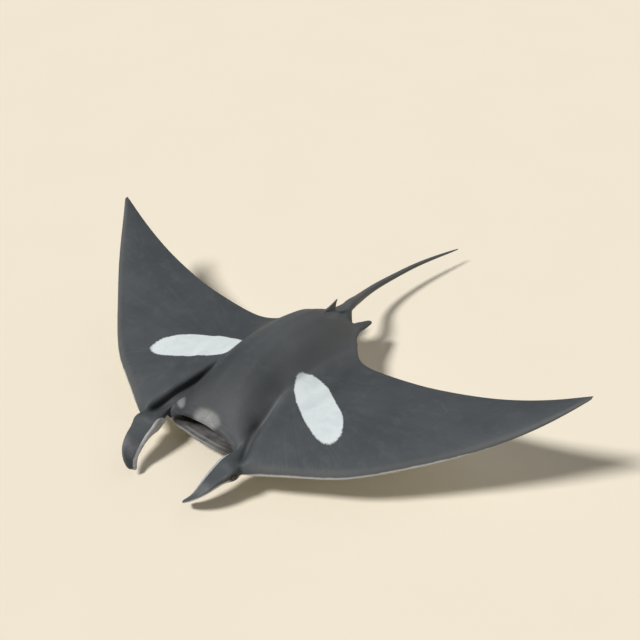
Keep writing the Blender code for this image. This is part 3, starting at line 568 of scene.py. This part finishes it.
def shape_skin(mesh):
    """Adds the folds the solids leave out: lids, spiracles, lips, gill slits, muscle and fin rays."""
    co, normal = arrays(mesh)
    x, y, z = half_spans(co)
    ax = np.abs(x)
    side = np.where(x < 0, -1.0, 1.0)
    back, lining, horn, tail = (read(mesh, n) for n in ("back", "lining", "horn", "tail"))
    body = (1 - horn) * (1 - tail)
    push = np.zeros(len(co))

    xs = np.linspace(0, 1, 201)
    fy, by = front_y(xs), back_y(xs)
    ahead, behind_ = np.interp(ax, xs, fy), np.interp(ax, xs, by)
    t = (y - ahead) / (behind_ - ahead)
    upper = smooth(-0.002, 0.010, back) * (1 - lining)
    under = smooth(-0.002, 0.010, -back) * (1 - lining)

    # a low spine and the long muscles beside it
    push += upper * body * 0.0035 * bell(ax, 0.010) * smooth(-0.20, -0.05, y) * (1 - smooth(0.26, 0.33, y))
    push += upper * body * 0.0040 * bell(ax - 0.040, 0.018) * smooth(-0.28, -0.15, y) * (1 - smooth(0.20, 0.30, y))
    # the edge of the shoulder's muscle, from behind the head to the hind edge
    rim = 0.205 + 0.05 * np.sin(np.clip((y + 0.22) / 0.40, 0, 1) * np.pi)
    push += upper * body * smooth(-0.26, -0.18, y) * (1 - smooth(0.12, 0.19, y)) * (0.0050 * bell(ax - rim + 0.020, 0.022) - 0.0050 * bell(ax - rim - 0.012, 0.016))
    # fin rays fan out over the wings
    theta = np.arctan2(y + 0.06, ax - 0.10)
    radius = np.hypot(y + 0.06, ax - 0.10)
    wing = smooth(0.20, 0.34, ax) * (1 - smooth(0.80, 0.95, ax)) * body
    rays = np.sin(theta * 46 + 1.3 * np.sin(radius * 9))
    thick = smooth(0.0, 0.10, np.minimum(t, 1 - t))
    push += wing * thick * rays * 0.0011 * (0.6 + 0.4 * np.sin(theta * 9.0 + 1.0))
    # the furrow between head and wing ends in a sharper crease along the wing's root
    along_furrow = smooth(0.010, 0.06, t) * (1 - smooth(0.24, 0.40, t)) * upper * body
    off = ax - furrow_x(t)
    along_furrow = along_furrow * np.where(x < 0, 1.0, 0.35)      # the left one is the shallower
    # painted shade: the crease between head and wing is darkened in colour, fully on the right side and more faintly on
    # the left
    furrow = along_furrow * bell(off - 0.006, 0.014)
    push += along_furrow * (-0.0130 * bell(off - 0.006, 0.0085) + 0.0070 * bell(off - 0.026, 0.011))

    # gill slits: the skin ahead swells into a flap, then the cut, then a slow rise
    slit = np.zeros(len(co))
    for k in range(GILLS):
        along, behind = gill_coordinates(ax, y, k)
        ends = smooth(-0.04, 0.14, along) * (1 - smooth(0.88, 1.04, along)) * under * (1 - lining) * (ax < 0.2)
        flap = np.where(behind < 0, 0.0075 * np.exp(np.minimum(behind, 0) / 0.024), 0)
        flap = np.where(behind >= 0, 0.0075 * (1 - smooth(0.0, 0.0035, behind)), flap)
        cut = -0.0105 * smooth(-0.0005, 0.004, behind) * (1 - smooth(0.006, 0.030, behind))
        push += ends * (flap + cut)
        slit = np.maximum(slit, ends * smooth(-0.002, 0.003, behind) * (1 - smooth(0.007, 0.016, behind)))

    # lips: a rounded roll along each edge of the mouth and a shallow groove behind it
    lip_y = np.interp(ax, xs, fy)
    mouth_ = (1 - smooth(0.130, 0.148, ax)) * (1 - horn)
    from_lip = (y - lip_y) * HALF_SPAN
    push += upper * mouth_ * (0.0030 * bell(from_lip - 0.010, 0.010) - 0.0030 * bell(from_lip - 0.034, 0.012))
    push += under * mouth_ * (0.0035 * bell(from_lip - 0.008, 0.012) - 0.0025 * bell(from_lip - 0.036, 0.014))
    # the gill arches ridge the mouth's lining
    depth = (y - lip_y) * HALF_SPAN
    push += lining * smooth(0.045, 0.075, depth) * (1 - smooth(0.22, 0.26, depth)) * 0.0045 * np.sin(depth / 0.040 * 2 * np.pi)
    # the band of small teeth lies just inside the lower lip
    gape = 0.084 * np.sqrt(np.clip(1 - (ax / 0.142) ** 2, 0, 1))
    floor_side = lining * smooth(0.0, 0.02, np.interp(ax, xs, front_z(xs)) - 0.55 * gape - z)
    teeth = floor_side * bell(depth - 0.020, 0.007) * (1 - smooth(0.085, 0.105, ax))
    push += teeth * 0.0022

    # the nostrils open at the corners of the upper lip
    nx = 0.114
    nz = np.interp(nx, xs, front_z(xs)) - 0.0040
    nostril = bell(ax - nx, 0.0075) * bell(z - nz - 0.10 * (ax - nx), 0.0026) * (y < np.interp(nx, xs, fy) + 0.012) * (1 - horn)
    push -= 0.0060 * nostril
    push += 0.0020 * bell(ax - nx, 0.011) * bell(z - nz - 0.0050, 0.0024) * (y < np.interp(nx, xs, fy) + 0.012) * (1 - horn)

    # rays along the head fins
    push += horn * 0.0006 * np.sin((ax + 0.35 * z + 0.25 * y) * 700) * smooth(0.004, 0.012, np.abs(back)) * smooth(-0.430, -0.480, y)
    moved = co + normal * push[:, None]

    # lids: the skin swells round each eye, rolls over its rim, and dives behind the ball
    lid = np.full(len(co), 0.2)
    for s in (-1, 1):
        out, aft, up = eye_frame(s)
        centre = np.array([EYE[0] * s, EYE[1], EYE[2]])
        rel = moved - centre
        h, a, b = rel @ out, rel @ aft, rel @ up
        inside = (h > -0.012) & (np.hypot(a, b) < 0.10)
        rho = np.hypot(a / 0.0195, b / 0.0150)
        r_true = np.hypot(a, b)
        ball = np.sqrt(np.maximum(EYE_RADIUS ** 2 - r_true ** 2, 0))
        rim_h = 0.0162
        roll = rim_h + 0.0030 * np.sin(np.clip((rho - 1) / 0.75, 0, 1) * np.pi)
        blend = smooth(1.15, 3.6, rho)
        swell = 0.006 * bell(np.maximum(rho - 1.4, 0), 1.3)
        outer = roll * (1 - blend) + (h + swell * (1 - smooth(3.0, 4.6, rho))) * blend
        cup = rim_h - 0.0015 - 0.032 * np.sqrt(np.clip(1 - rho ** 2, 0, 1))
        target = np.where(rho < 1, cup, outer)
        target = np.where(inside & (rho < 4.6), target, h)
        moved += out * (target - h)[:, None]
        lid = np.where(inside, np.minimum(lid, (rho - 1) * 0.017), lid)
        # the spiracle: a short slit behind and above the eye
        sx, sy = EYE[0] - 0.052, EYE[1] + 0.075
        d_across = moved[:, 1] - sy - 0.35 * (np.abs(moved[:, 0]) - sx)
        d_along = np.abs(moved[:, 0]) - sx
        hole = upper * bell(d_along, 0.013) * (side == s)
        moved += normal * (hole * (-0.0055 * bell(d_across, 0.0035) + 0.0022 * bell(np.abs(d_across) - 0.008, 0.005)))[:, None]

    mesh.vertices.foreach_set("co", moved.astype(np.float32).ravel())
    mesh.update()

    # ---- what the finish needs to know about each point
    # slit: gill slits and nostrils, painted dark as the shade inside them
    write(mesh, "slit", np.maximum(slit, 0.9 * nostril))
    write(mesh, "lid", lid)
    write(mesh, "teeth", teeth)
    write(mesh, "fan", theta)
    write(mesh, "reach", radius)
    write(mesh, "wing", smooth(0.17, 0.30, ax) * body)
    write(mesh, "front_edge", np.clip(t, 0, 1) * (behind_ - ahead) * HALF_SPAN)
    write(mesh, "hind_edge", np.clip(1 - t, 0, 1) * (behind_ - ahead) * HALF_SPAN)
    write(mesh, "span", ax)
    write(mesh, "patch", patch_distance(x, y))
    write(mesh, "spots", spot_distance(x, y))
    write(mesh, "jaw", from_lip + 0.30 * smooth(0.115, 0.170, ax) + 0.3 * horn)
    # painted shade along the crease between head and wing
    write(mesh, "furrow", furrow)
    # painted shade: the front of the head, which faces the key light, is painted darker than the back behind it; in
    # part this is the head's own darker tone
    write(mesh, "crown_shade", (1 - smooth(-0.27, -0.02, y)) * (1 - smooth(0.10, 0.19, ax)) * body)
    # painted light: the left side of the head and the back over the hips are painted paler, to lift the shade the key
    # light leaves there
    flank = 0.35 * bell(x - 0.115, 0.045) * smooth(-0.40, -0.33, y) * (1 - smooth(-0.12, 0.02, y))
    flank += 0.90 * bell(x - 0.138, 0.024) * smooth(-0.26, -0.21, y) * (1 - smooth(-0.16, -0.11, y))
    hips = 0.42 * bell(x - 0.03, 0.10) + 0.50 * bell(x - 0.115, 0.055)
    hips *= smooth(-0.14, 0.04, y) * (1 - smooth(0.32, 0.42, y))
    write(mesh, "flank_and_hips_light", np.clip(flank + hips, 0, 1) * body)
    # pale marks, partly the skin's own blotches and partly painted highlights: one on the snout over the lip, one at
    # the right corner of the mouth
    snout = np.hypot((x - 0.002) / 0.056, (t - 0.015 - 2.0 * x * x) / 0.035)
    corner = np.hypot((ax - 0.128 - 0.5 * (t - 0.055)) / 0.017, (t - 0.055) / 0.036)
    pale = np.maximum(0.95 * (1 - smooth(0.62, 1.15, snout)), 0.75 * (1 - smooth(0.55, 1.20, corner)) * (x < 0))
    write(mesh, "pale", pale * (1 - lining) * (1 - horn) * (back > -0.004))
    # painted shade: the jaw and the mouth's lining are painted darker towards the left corner, where the head shades
    # them; in part the corner's own dark tone
    by_mouth = np.clip(lining + under * (1 - smooth(0.05, 0.11, from_lip)) * (1 - smooth(0.140, 0.165, ax)), 0, 1)
    write(mesh, "mouth_corner_shade", by_mouth * smooth(0.020, 0.105, x) * (1 - horn))
    write(mesh, "aft", y)
    # the inner edge of each head fin, where the pale face wraps round; on the left fin the pale band is widened into a
    # painted highlight along the edge
    rows = np.array([(row[0][1], row[0][0], row[1][0]) for row in cephalic_rows()])
    middle, half_width = (np.interp(-y, -rows[:, 0], rows[:, c]) for c in (1, 2))
    edge_on = (middle - ax) / half_width
    write(mesh, "inner", horn * np.where(x < 0, smooth(0.62, 0.95, edge_on), 2.5 * smooth(0.66, 0.80, edge_on)))
    write(mesh, "blade", horn * smooth(-0.485, -0.515, y) * (1 - smooth(-0.530, -0.550, y)))
    return mesh


# ---------------------------------------------------------------- markings

PATCH_CENTRE = (0.2660, -0.0895)      # half-spans
PATCH_LEAN = radians(-32.7)           # its long axis, ahead of straight out
PATCH_SIZE = (0.1610, 0.0600)         # half its length and half its width
PATCH_BOW = 0.19
PATCH_SHORT = 0.012                   # how much sooner the left one ends, toward the spine


def patch_distance(x, y):
    """Metres inside (+) or outside (-) the white shoulder patch, a long rounded oval, a little bowed."""
    (cx, cy), (a, b) = PATCH_CENTRE, PATCH_SIZE
    c, s = np.cos(PATCH_LEAN), np.sin(PATCH_LEAN)
    left = x > 0
    trim = np.where(left, PATCH_SHORT / 2, 0.0)
    x = np.abs(x)
    u = ((x - cx) * c + (y - cy) * s - trim) / (a - trim)
    v = (-(x - cx) * s + (y - cy) * c) / b + PATCH_BOW * np.where(left & (u < 0), -0.35, 1.0) * u * u
    blunt = 2.34 + 0.8 * (u < 0)          # its inner end is the blunter one
    r = (np.abs(u) ** blunt + np.abs(v) ** 2.11) ** (1 / 2.2)
    return (1 - r) * b * HALF_SPAN


def spot_distance(x, y):
    """Metres inside (+) or outside (-) the dark spots of the belly."""
    dice = np.random.default_rng(11)
    best = np.full(len(x), -0.2)
    for k in range(34):
        if k < 12:
            cx, cy = dice.uniform(-0.075, 0.075), dice.uniform(-0.22, -0.02)
            r = dice.uniform(0.006, 0.014)
        else:
            cx, cy = dice.uniform(-0.24, 0.24), dice.uniform(0.02, 0.22)
            r = dice.uniform(0.006, 0.020)
        stretch = dice.uniform(0.75, 1.3)
        d = np.hypot((x - cx) * stretch, (y - cy) / stretch) * HALF_SPAN
        best = np.maximum(best, r * HALF_SPAN - d)
    return best


# ---------------------------------------------------------------- materials

class Finish:
    """A material and short names for the nodes it is made of."""

    def __init__(self, name):
        self.material = bpy.data.materials.new(name)
        self.material.use_nodes = True
        self.tree = self.material.node_tree
        self.shader = self.tree.nodes["Principled BSDF"]
        self.position = self.tree.nodes.new("ShaderNodeTexCoord").outputs["Object"]

    def put(self, socket, value):
        if isinstance(value, bpy.types.NodeSocket):
            self.tree.links.new(value, socket)
        elif hasattr(value, "__len__") and len(value) == 3 and len(socket.default_value) == 4:
            socket.default_value = (*value, 1)
        else:
            socket.default_value = value

    def set(self, **values):
        for name, value in values.items():
            self.put(self.shader.inputs[name.replace("_", " ")], value)
        return self

    def known(self, name):
        node = self.tree.nodes.new("ShaderNodeAttribute")
        node.attribute_name = name
        return node.outputs["Fac"]

    def math(self, op, a, b=0.5, c=0.5, clamp=False):
        node = self.tree.nodes.new("ShaderNodeMath")
        node.operation = op
        node.use_clamp = clamp
        for socket, value in zip(node.inputs, (a, b, c)):
            self.put(socket, value)
        return node.outputs[0]

    def add(self, a, b):
        return self.math("ADD", a, b)

    def mul(self, a, b):
        return self.math("MULTIPLY", a, b)

    def step(self, value, low, high, a=0.0, b=1.0):
        """a below low, b above high, smooth between."""
        node = self.tree.nodes.new("ShaderNodeMapRange")
        node.interpolation_type = "SMOOTHSTEP"
        self.put(node.inputs["Value"], value)
        for name, v in (("From Min", low), ("From Max", high), ("To Min", a), ("To Max", b)):
            node.inputs[name].default_value = v
        return node.outputs[0]

    def mix(self, share, a, b):
        node = self.tree.nodes.new("ShaderNodeMix")
        node.data_type = "RGBA"
        self.put(node.inputs["Factor"], share)
        self.put(node.inputs[6], a)
        self.put(node.inputs[7], b)
        return node.outputs[2]

    def lerp(self, share, a, b):
        node = self.tree.nodes.new("ShaderNodeMix")
        node.data_type = "FLOAT"
        self.put(node.inputs["Factor"], share)
        self.put(node.inputs[2], a)
        self.put(node.inputs[3], b)
        return node.outputs[0]

    def vector(self, x, y, z):
        node = self.tree.nodes.new("ShaderNodeCombineXYZ")
        for socket, value in zip(node.inputs, (x, y, z)):
            self.put(socket, value)
        return node.outputs[0]

    def stretch(self, vector, scale):
        node = self.tree.nodes.new("ShaderNodeVectorMath")
        node.operation = "MULTIPLY"
        self.put(node.inputs[0], vector)
        node.inputs[1].default_value = scale
        return node.outputs[0]

    def noise(self, vector, scale, detail=3.0, rough=0.5, twist=0.0):
        node = self.tree.nodes.new("ShaderNodeTexNoise")
        self.put(node.inputs["Vector"], vector)
        node.inputs["Scale"].default_value = scale
        node.inputs["Detail"].default_value = detail
        node.inputs["Roughness"].default_value = rough
        node.inputs["Distortion"].default_value = twist
        return node.outputs["Fac"]

    def cells(self, vector, scale, feature="F1", output="Distance", random=1.0):
        node = self.tree.nodes.new("ShaderNodeTexVoronoi")
        node.feature = feature
        self.put(node.inputs["Vector"], vector)
        node.inputs["Scale"].default_value = scale
        node.inputs["Randomness"].default_value = random
        return node.outputs[output]

    def bump(self, height, distance, strength=1.0, normal=None):
        node = self.tree.nodes.new("ShaderNodeBump")
        self.put(node.inputs["Height"], height)
        node.inputs["Distance"].default_value = distance
        node.inputs["Strength"].default_value = strength
        if normal is not None:
            self.put(node.inputs["Normal"], normal)
        return node.outputs[0]


SLATE = (0.0640, 0.0710, 0.0765)
SLATE_DARK = (0.0520, 0.0590, 0.0640)
SLATE_LIGHT = (0.0850, 0.0915, 0.0965)
PATCH_WHITE = (0.680, 0.730, 0.740)
PATCH_SHADE = (0.54, 0.60, 0.625)
BELLY = (0.66, 0.665, 0.635)
BELLY_SHADE = (0.50, 0.515, 0.510)
MARGIN = (0.145, 0.150, 0.155)
SPOT = (0.045, 0.048, 0.052)
GULLET = (0.155, 0.151, 0.147)
GULLET_DARK = (0.078, 0.076, 0.074)


def skin_finish():
    f = Finish("manta_skin")
    p = f.position
    back, lining, horn, tail = (f.known(n) for n in ("back", "lining", "horn", "tail"))
    broad = f.noise(p, 3.2, 4.0, 0.55)
    cloud = f.noise(p, 14.0, 5.0, 0.6, 0.3)
    fleck = f.noise(p, 95.0, 3.0, 0.6)
    fan = f.vector(f.mul(f.known("fan"), 30.0), f.mul(f.known("reach"), 7.0), 0.0)
    streak = f.noise(fan, 1.0, 4.0, 0.6, 0.2)
    wing = f.known("wing")

    # the back: slate, clouded, with faint streaks along the fin rays
    tone = f.mix(f.step(broad, 0.35, 0.66), SLATE_DARK, SLATE)
    tone = f.mix(f.mul(f.step(cloud, 0.48, 0.75), 0.55), tone, SLATE_LIGHT)
    tone = f.mix(f.mul(f.mul(f.step(streak, 0.52, 0.78), wing), 0.45), tone, SLATE_LIGHT)
    tone = f.mix(f.mul(f.step(fleck, 0.60, 0.80), 0.30), tone, SLATE_LIGHT)
    front = f.known("front_edge")
    tone = f.mix(f.mul(f.mul(f.step(front, 0.055, 0.015), f.step(f.known("span"), 0.22, 0.30)), 0.55), tone, (0.102, 0.104, 0.104))
    # painted shade over the front of the head, partly its own darker tone
    tone = f.mix(f.mul(f.known("crown_shade"), 0.50), tone, (0.0215, 0.0245, 0.0275))
    # painted light on the left side of the head and over the hips
    tone = f.mix(f.known("flank_and_hips_light"), tone, (0.118, 0.125, 0.131))
    tone = f.mix(f.mul(tail, 0.50), tone, (0.128, 0.130, 0.132))
    # painted shade darkens the crease between head and wing
    tone = f.mix(f.mul(f.known("furrow"), 0.60), tone, (0.014, 0.016, 0.018))
    # pale marks on the snout and at the mouth's right corner, partly painted highlights
    mottle = f.step(f.add(cloud, f.mul(fleck, 0.5)), 0.45, 0.95, 1.0, 0.55)
    tone = f.mix(f.mul(f.known("pale"), mottle), tone, (0.300, 0.302, 0.292))
    tone = f.mix(f.mul(f.mul(f.known("blade"), f.step(cloud, 0.35, 0.65, 0.25, 0.65)), 1.0), tone, (0.155, 0.160, 0.168))
    # old scratches, few and thin
    scratch = f.cells(f.stretch(p, (1.0, 0.28, 1.0)), 5.5, "DISTANCE_TO_EDGE")
    where = f.step(f.noise(p, 2.1, 2.0, 0.5), 0.60, 0.70)
    tone = f.mix(f.mul(f.mul(f.step(scratch, 0.010, 0.003), where), 0.14), tone, (0.16, 0.17, 0.175))

    # the shoulder patches
    edge = f.add(f.known("patch"), f.mul(f.add(cloud, -0.5), 0.016))
    edge = f.add(edge, f.mul(f.add(fleck, -0.5), 0.010))
    white = f.mix(f.mul(f.step(cloud, 0.40, 0.70), 0.45), PATCH_WHITE, PATCH_SHADE)
    tone = f.mix(f.step(edge, -0.0045, 0.0035), tone, white)

    # the belly: white with soft grey margins and dark spots
    belly = f.mix(f.mul(f.step(broad, 0.40, 0.70), 0.6), BELLY, BELLY_SHADE)
    belly = f.mix(f.mul(f.step(cloud, 0.55, 0.80), 0.25), belly, (0.60, 0.56, 0.52))
    hind = f.add(f.known("hind_edge"), f.mul(f.add(broad, -0.5), 0.10))
    margin = f.mul(f.step(hind, 0.110, 0.015), f.step(f.known("span"), 0.30, 0.50))
    tips = f.step(f.add(f.known("span"), f.mul(f.add(broad, -0.5), 0.12)), 0.80, 0.96)
    margin = f.math("MAXIMUM", margin, tips)
    belly = f.mix(f.mul(margin, 0.85), belly, MARGIN)
    spots = f.add(f.known("spots"), f.mul(f.add(f.noise(p, 40.0, 3.0, 0.6), -0.5), 0.016))
    belly = f.mix(f.mul(f.step(spots, -0.003, 0.003), 0.92), belly, SPOT)
    jaw = f.add(f.known("jaw"), f.mul(f.add(cloud, -0.5), 0.10))
    belly = f.mix(f.step(jaw, 0.190, 0.030, 0.0, 0.80), belly, (0.078, 0.078, 0.076))

    # the dark back ends in a soft, uneven line along the edges
    line = f.add(back, f.mul(f.add(cloud, -0.5), 0.010))
    line = f.add(line, f.mul(tail, f.step(f.add(f.known("aft"), f.mul(cloud, 0.03)), 0.415, 0.60, 0.0, 0.030)))
    # the pale face wraps round each head fin's inner edge; on the left fin it is widened into a painted highlight
    line = f.add(line, f.mul(f.known("inner"), -0.0280))
    # the pale underside shows as a thin grey rim along each wing's leading edge
    nose = f.mul(f.step(front, 0.060, 0.030), f.mul(f.step(f.known("span"), 0.225, 0.27), f.step(f.known("span"), 0.88, 0.66)))
    line = f.add(line, f.mul(nose, -0.0100))
    belly = f.mix(f.mul(nose, 0.55), belly, (0.235, 0.238, 0.238))
    side = f.step(line, -0.0065, 0.0015)
    colour = f.mix(side, belly, tone)

    # inside the head fins: grey-white, darker towards the edges
    inner = f.mix(f.step(cloud, 0.40, 0.70), (0.42, 0.425, 0.44), (0.28, 0.285, 0.30))
    colour = f.mix(f.mul(f.mul(horn, f.step(line, 0.0, -0.010)), 0.9), colour, inner)

    # the mouth
    gullet = f.mix(f.step(cloud, 0.35, 0.70), GULLET, GULLET_DARK)
    colour = f.mix(f.step(lining, 0.25, 0.75), colour, gullet)
    colour = f.mix(f.mul(f.known("teeth"), 0.55), colour, (0.34, 0.335, 0.32))
    # painted shade at the left corner of the mouth
    colour = f.mix(f.mul(f.known("mouth_corner_shade"), 0.80), colour, (0.040, 0.040, 0.039))

    # gill slits and nostrils painted dark as the shade inside them, and the dark rim of each eye
    colour = f.mix(f.mul(f.known("slit"), 0.93), colour, (0.020, 0.018, 0.018))
    lid = f.known("lid")
    colour = f.mix(f.mul(f.step(lid, 0.016, 0.002), 0.75), colour, (0.022, 0.024, 0.026))
    f.set(Base_Color=colour)

    # satin, a little wetter round the eyes and in the mouth
    rough = f.add(f.mul(cloud, 0.16), f.mul(fleck, 0.14))
    rough = f.add(rough, 0.44)
    rough = f.lerp(f.step(lining, 0.3, 0.7), rough, 0.34)
    rough = f.lerp(f.step(lid, 0.010, 0.001), rough, 0.25)
    f.set(Roughness=rough, Specular_IOR_Level=0.34)

    # skin grain: tiny denticles, creases and the streaks of the muscle
    grain = f.cells(p, 520.0)
    crease = f.noise(f.stretch(p, (1.0, 1.0, 1.0)), 60.0, 5.0, 0.65, 0.6)
    n = f.bump(grain, 0.00045, 0.55)
    n = f.bump(crease, 0.0015, 0.50, n)
    n = f.bump(f.mul(f.mul(streak, wing), f.step(edge, -0.01, 0.01, 1.0, 0.25)), 0.0034, 0.50, n)
    n = f.bump(cloud, 0.0040, 0.35, n)
    f.set(Normal=n)
    return f.material


def eye_finish():
    f = Finish("manta_eye")
    angle, turn, across, upward = (f.known(n) for n in ("eye_angle", "eye_turn", "eye_across", "eye_up"))
    fibres = f.noise(f.vector(f.mul(f.math("COSINE", turn), 9.0), f.mul(f.math("SINE", turn), 9.0), f.mul(angle, 3.0)), 3.0, 4.0, 0.65)
    iris = f.mix(f.step(fibres, 0.38, 0.68), (0.030, 0.021, 0.014), (0.105, 0.080, 0.052))
    iris = f.mix(f.step(angle, 0.50, 0.66), iris, (0.016, 0.014, 0.013))
    white = f.mix(f.step(f.noise(f.position, 160.0, 3.0, 0.6), 0.4, 0.7), (0.085, 0.078, 0.070), (0.040, 0.037, 0.035))
    colour = f.mix(f.step(angle, 0.66, 0.76), iris, white)
    # a wide, low pupil under its drooping flap
    reach = f.math("SQRT", f.add(f.math("POWER", f.mul(across, 1 / 0.40), 2.0), f.math("POWER", f.mul(f.add(upward, 0.02), 1 / 0.22), 2.0)))
    colour = f.mix(f.step(reach, 1.06, 0.94), colour, (0.003, 0.003, 0.003))
    f.set(Base_Color=colour, Roughness=f.lerp(f.step(angle, 0.5, 0.9), 0.30, 0.24), Specular_IOR_Level=0.10, Coat_Weight=0.6, Coat_Roughness=0.03)
    return f.material


def stand_paint_finish():
    """Pale satin powder coat over the steel plate."""
    f = Finish("stand_paint")
    p = f.position
    speckle = f.noise(p, 900.0, 2.0, 0.5)
    cloud = f.noise(p, 6.0, 4.0, 0.55)
    colour = f.mix(f.step(cloud, 0.3, 0.7), (0.60, 0.595, 0.575), (0.65, 0.645, 0.625))
    colour = f.mix(f.mul(f.step(speckle, 0.55, 0.75), 0.25), colour, (0.50, 0.495, 0.48))
    f.set(Base_Color=colour, Roughness=f.add(f.mul(speckle, 0.15), 0.38), Specular_IOR_Level=0.45)
    f.set(Normal=f.bump(f.noise(p, 420.0, 2.0, 0.5), 0.0006, 0.35))
    return f.material


def brushed_steel_finish():
    """Steel rods with the fine rings of a lathe."""
    f = Finish("brushed_steel")
    p = f.position
    rings = f.noise(f.stretch(p, (6.0, 6.0, 900.0)), 1.0, 3.0, 0.6)
    smear = f.noise(p, 18.0, 3.0, 0.5)
    colour = f.mix(f.step(rings, 0.3, 0.7), (0.50, 0.50, 0.495), (0.64, 0.64, 0.635))
    f.set(Base_Color=colour, Metallic=1.0, Roughness=f.add(f.mul(rings, 0.14), f.add(f.mul(smear, 0.10), 0.20)))
    f.set(Normal=f.bump(rings, 0.0003, 0.35))
    return f.material


# ---------------------------------------------------------------- the pieces

def add_piece(name, mesh, material, smooth_faces=True):
    mesh.name = name
    mesh.materials.clear()
    mesh.materials.append(material)
    mesh.polygons.foreach_set("use_smooth", np.full(len(mesh.polygons), smooth_faces))
    ob = bpy.data.objects.new(name, mesh)
    bpy.context.scene.collection.objects.link(ob)
    return ob


def eye_mesh(side):
    """An eyeball with a low cornea; its pole is the gaze."""
    out, aft, up = eye_frame(side)
    centre = np.array([EYE[0] * side, EYE[1], EYE[2]])
    rings, sectors = 36, 56
    angles = np.linspace(0, np.pi, rings + 1)[1:-1]
    turns = np.arange(sectors) / sectors * 2 * np.pi
    rows = [(0.0, 0.0)] + [(a, w) for a in angles for w in turns] + [(np.pi, 0.0)]
    a, w = (np.array(v) for v in zip(*rows))
    r = (EYE_RADIUS - 0.0006) + 0.0011 * np.exp(-(a / 0.62) ** 4)
    local = np.stack([r * np.cos(a), r * np.sin(a) * np.cos(w), r * np.sin(a) * np.sin(w)], -1)
    co = centre + local[:, :1] * out + local[:, 1:2] * aft + local[:, 2:] * up
    faces = []
    for k in range(sectors):
        q = (k + 1) % sectors
        faces.append((0, 1 + k, 1 + q))
        for j in range(rings - 2):
            b = 1 + j * sectors
            faces.append((b + k, b + sectors + k, b + sectors + q, b + q))
        b = 1 + (rings - 2) * sectors
        faces.append((b + k, len(rows) - 1, b + q))
    mesh = bpy.data.meshes.new("eye")
    mesh.from_pydata([tuple(v) for v in co], [], faces)
    bm = bmesh.new()
    bm.from_mesh(mesh)
    bmesh.ops.recalc_face_normals(bm, faces=bm.faces)
    bm.to_mesh(mesh)
    bm.free()
    write(mesh, "eye_angle", a)
    write(mesh, "eye_turn", w)
    write(mesh, "eye_across", np.sin(a) * np.cos(w) * (a < np.pi / 2) + 2.0 * (a >= np.pi / 2))
    write(mesh, "eye_up", np.sin(a) * np.sin(w))
    return mesh


FLESH = [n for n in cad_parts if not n.startswith(("stand_", "eye_"))]

skin = add_piece("skin", shape_skin(skin_mesh()), skin_finish())
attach(skin, "root")
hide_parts(*FLESH)

eye_material = eye_finish()
for side, label in ((1, "left"), (-1, "right")):
    ball = add_piece("eyeball_" + label, eye_mesh(side), eye_material)
    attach(ball, "root")
    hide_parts("eye_" + label)

paint, steel = stand_paint_finish(), brushed_steel_finish()
for name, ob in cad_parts.items():
    if name.startswith("stand_"):
        chosen = paint if name == "stand_base" else steel
        ob.data.materials.clear()
        ob.data.materials.append(chosen)


# ---------------------------------------------------------------- floor, light and camera

FILL_FROM, FILL_LOW, FILL_HIGH, KEY = (0.45, 0.80, 0.70), 0.03, 0.50, 3.26

floor_finish = Finish("floor_paper")
shade = floor_finish.noise(floor_finish.position, 1.1, 3.0, 0.5)
floor_finish.set(
    Base_Color=floor_finish.mix(floor_finish.step(shade, 0.2, 0.8), (0.8350, 0.7600, 0.6240), (0.8450, 0.7690, 0.6320)),
    Roughness=1.0,
    Specular_IOR_Level=0.0,
)
plane = bpy.data.meshes.new("floor")
reach = 30.0
plane.from_pydata([(-reach, -reach, 0), (reach, -reach, 0), (reach, reach, 0), (-reach, reach, 0)], [], [(0, 1, 2, 3)])
floor = add_piece("floor", plane, floor_finish.material, False)

# One wide, soft fill overhead, a little to the animal's left; what shows behind the floor has the floor's own colour.
world = bpy.data.worlds.new("studio")
bpy.context.scene.world = world
world.use_nodes = True
sky = world.node_tree
toward = sky.nodes.new("ShaderNodeVectorMath")
toward.operation = "DOT_PRODUCT"
sky.links.new(sky.nodes.new("ShaderNodeTexCoord").outputs["Generated"], toward.inputs[0])
toward.inputs[1].default_value = Vector(FILL_FROM).normalized()
height = sky.nodes.new("ShaderNodeMapRange")
height.interpolation_type = "SMOOTHSTEP"
sky.links.new(toward.outputs["Value"], height.inputs["Value"])
for name, value in (("From Min", 0.0), ("From Max", 1.0), ("To Min", FILL_LOW), ("To Max", FILL_HIGH)):
    height.inputs[name].default_value = value
dome = sky.nodes["Background"]
dome.inputs["Color"].default_value = (1.0, 0.995, 0.985, 1)
sky.links.new(height.outputs[0], dome.inputs["Strength"])
beyond = sky.nodes.new("ShaderNodeBackground")
beyond.inputs["Color"].default_value = (0.8754, 0.7936, 0.6466, 1)
seen = sky.nodes.new("ShaderNodeLightPath")
choose = sky.nodes.new("ShaderNodeMixShader")
sky.links.new(seen.outputs["Is Camera Ray"], choose.inputs[0])
sky.links.new(dome.outputs[0], choose.inputs[1])
sky.links.new(beyond.outputs[0], choose.inputs[2])
sky.links.new(choose.outputs[0], sky.nodes["World Output"].inputs["Surface"])

sun = bpy.data.lights.new("key", "SUN")
sun.energy = KEY
sun.angle = radians(13)
sun.color = (1.0, 0.995, 0.985)
lamp = bpy.data.objects.new("key", sun)
lamp.rotation_euler = Vector((-0.43, -0.715, 1.0)).to_track_quat("Z", "Y").to_euler()
bpy.context.scene.collection.objects.link(lamp)

lens = bpy.data.cameras.new("camera")
lens.lens = 55.82
lens.sensor_width = 36.0
lens.clip_end = 200.0
camera = bpy.data.objects.new("camera", lens)
camera.location = (3.1118, -3.3795, 3.8504)
camera.rotation_euler = (radians(90 - 34.864), 0.0, radians(38.52))
bpy.context.scene.collection.objects.link(camera)
bpy.context.scene.camera = camera
bpy.context.scene.view_settings.view_transform = "Standard"
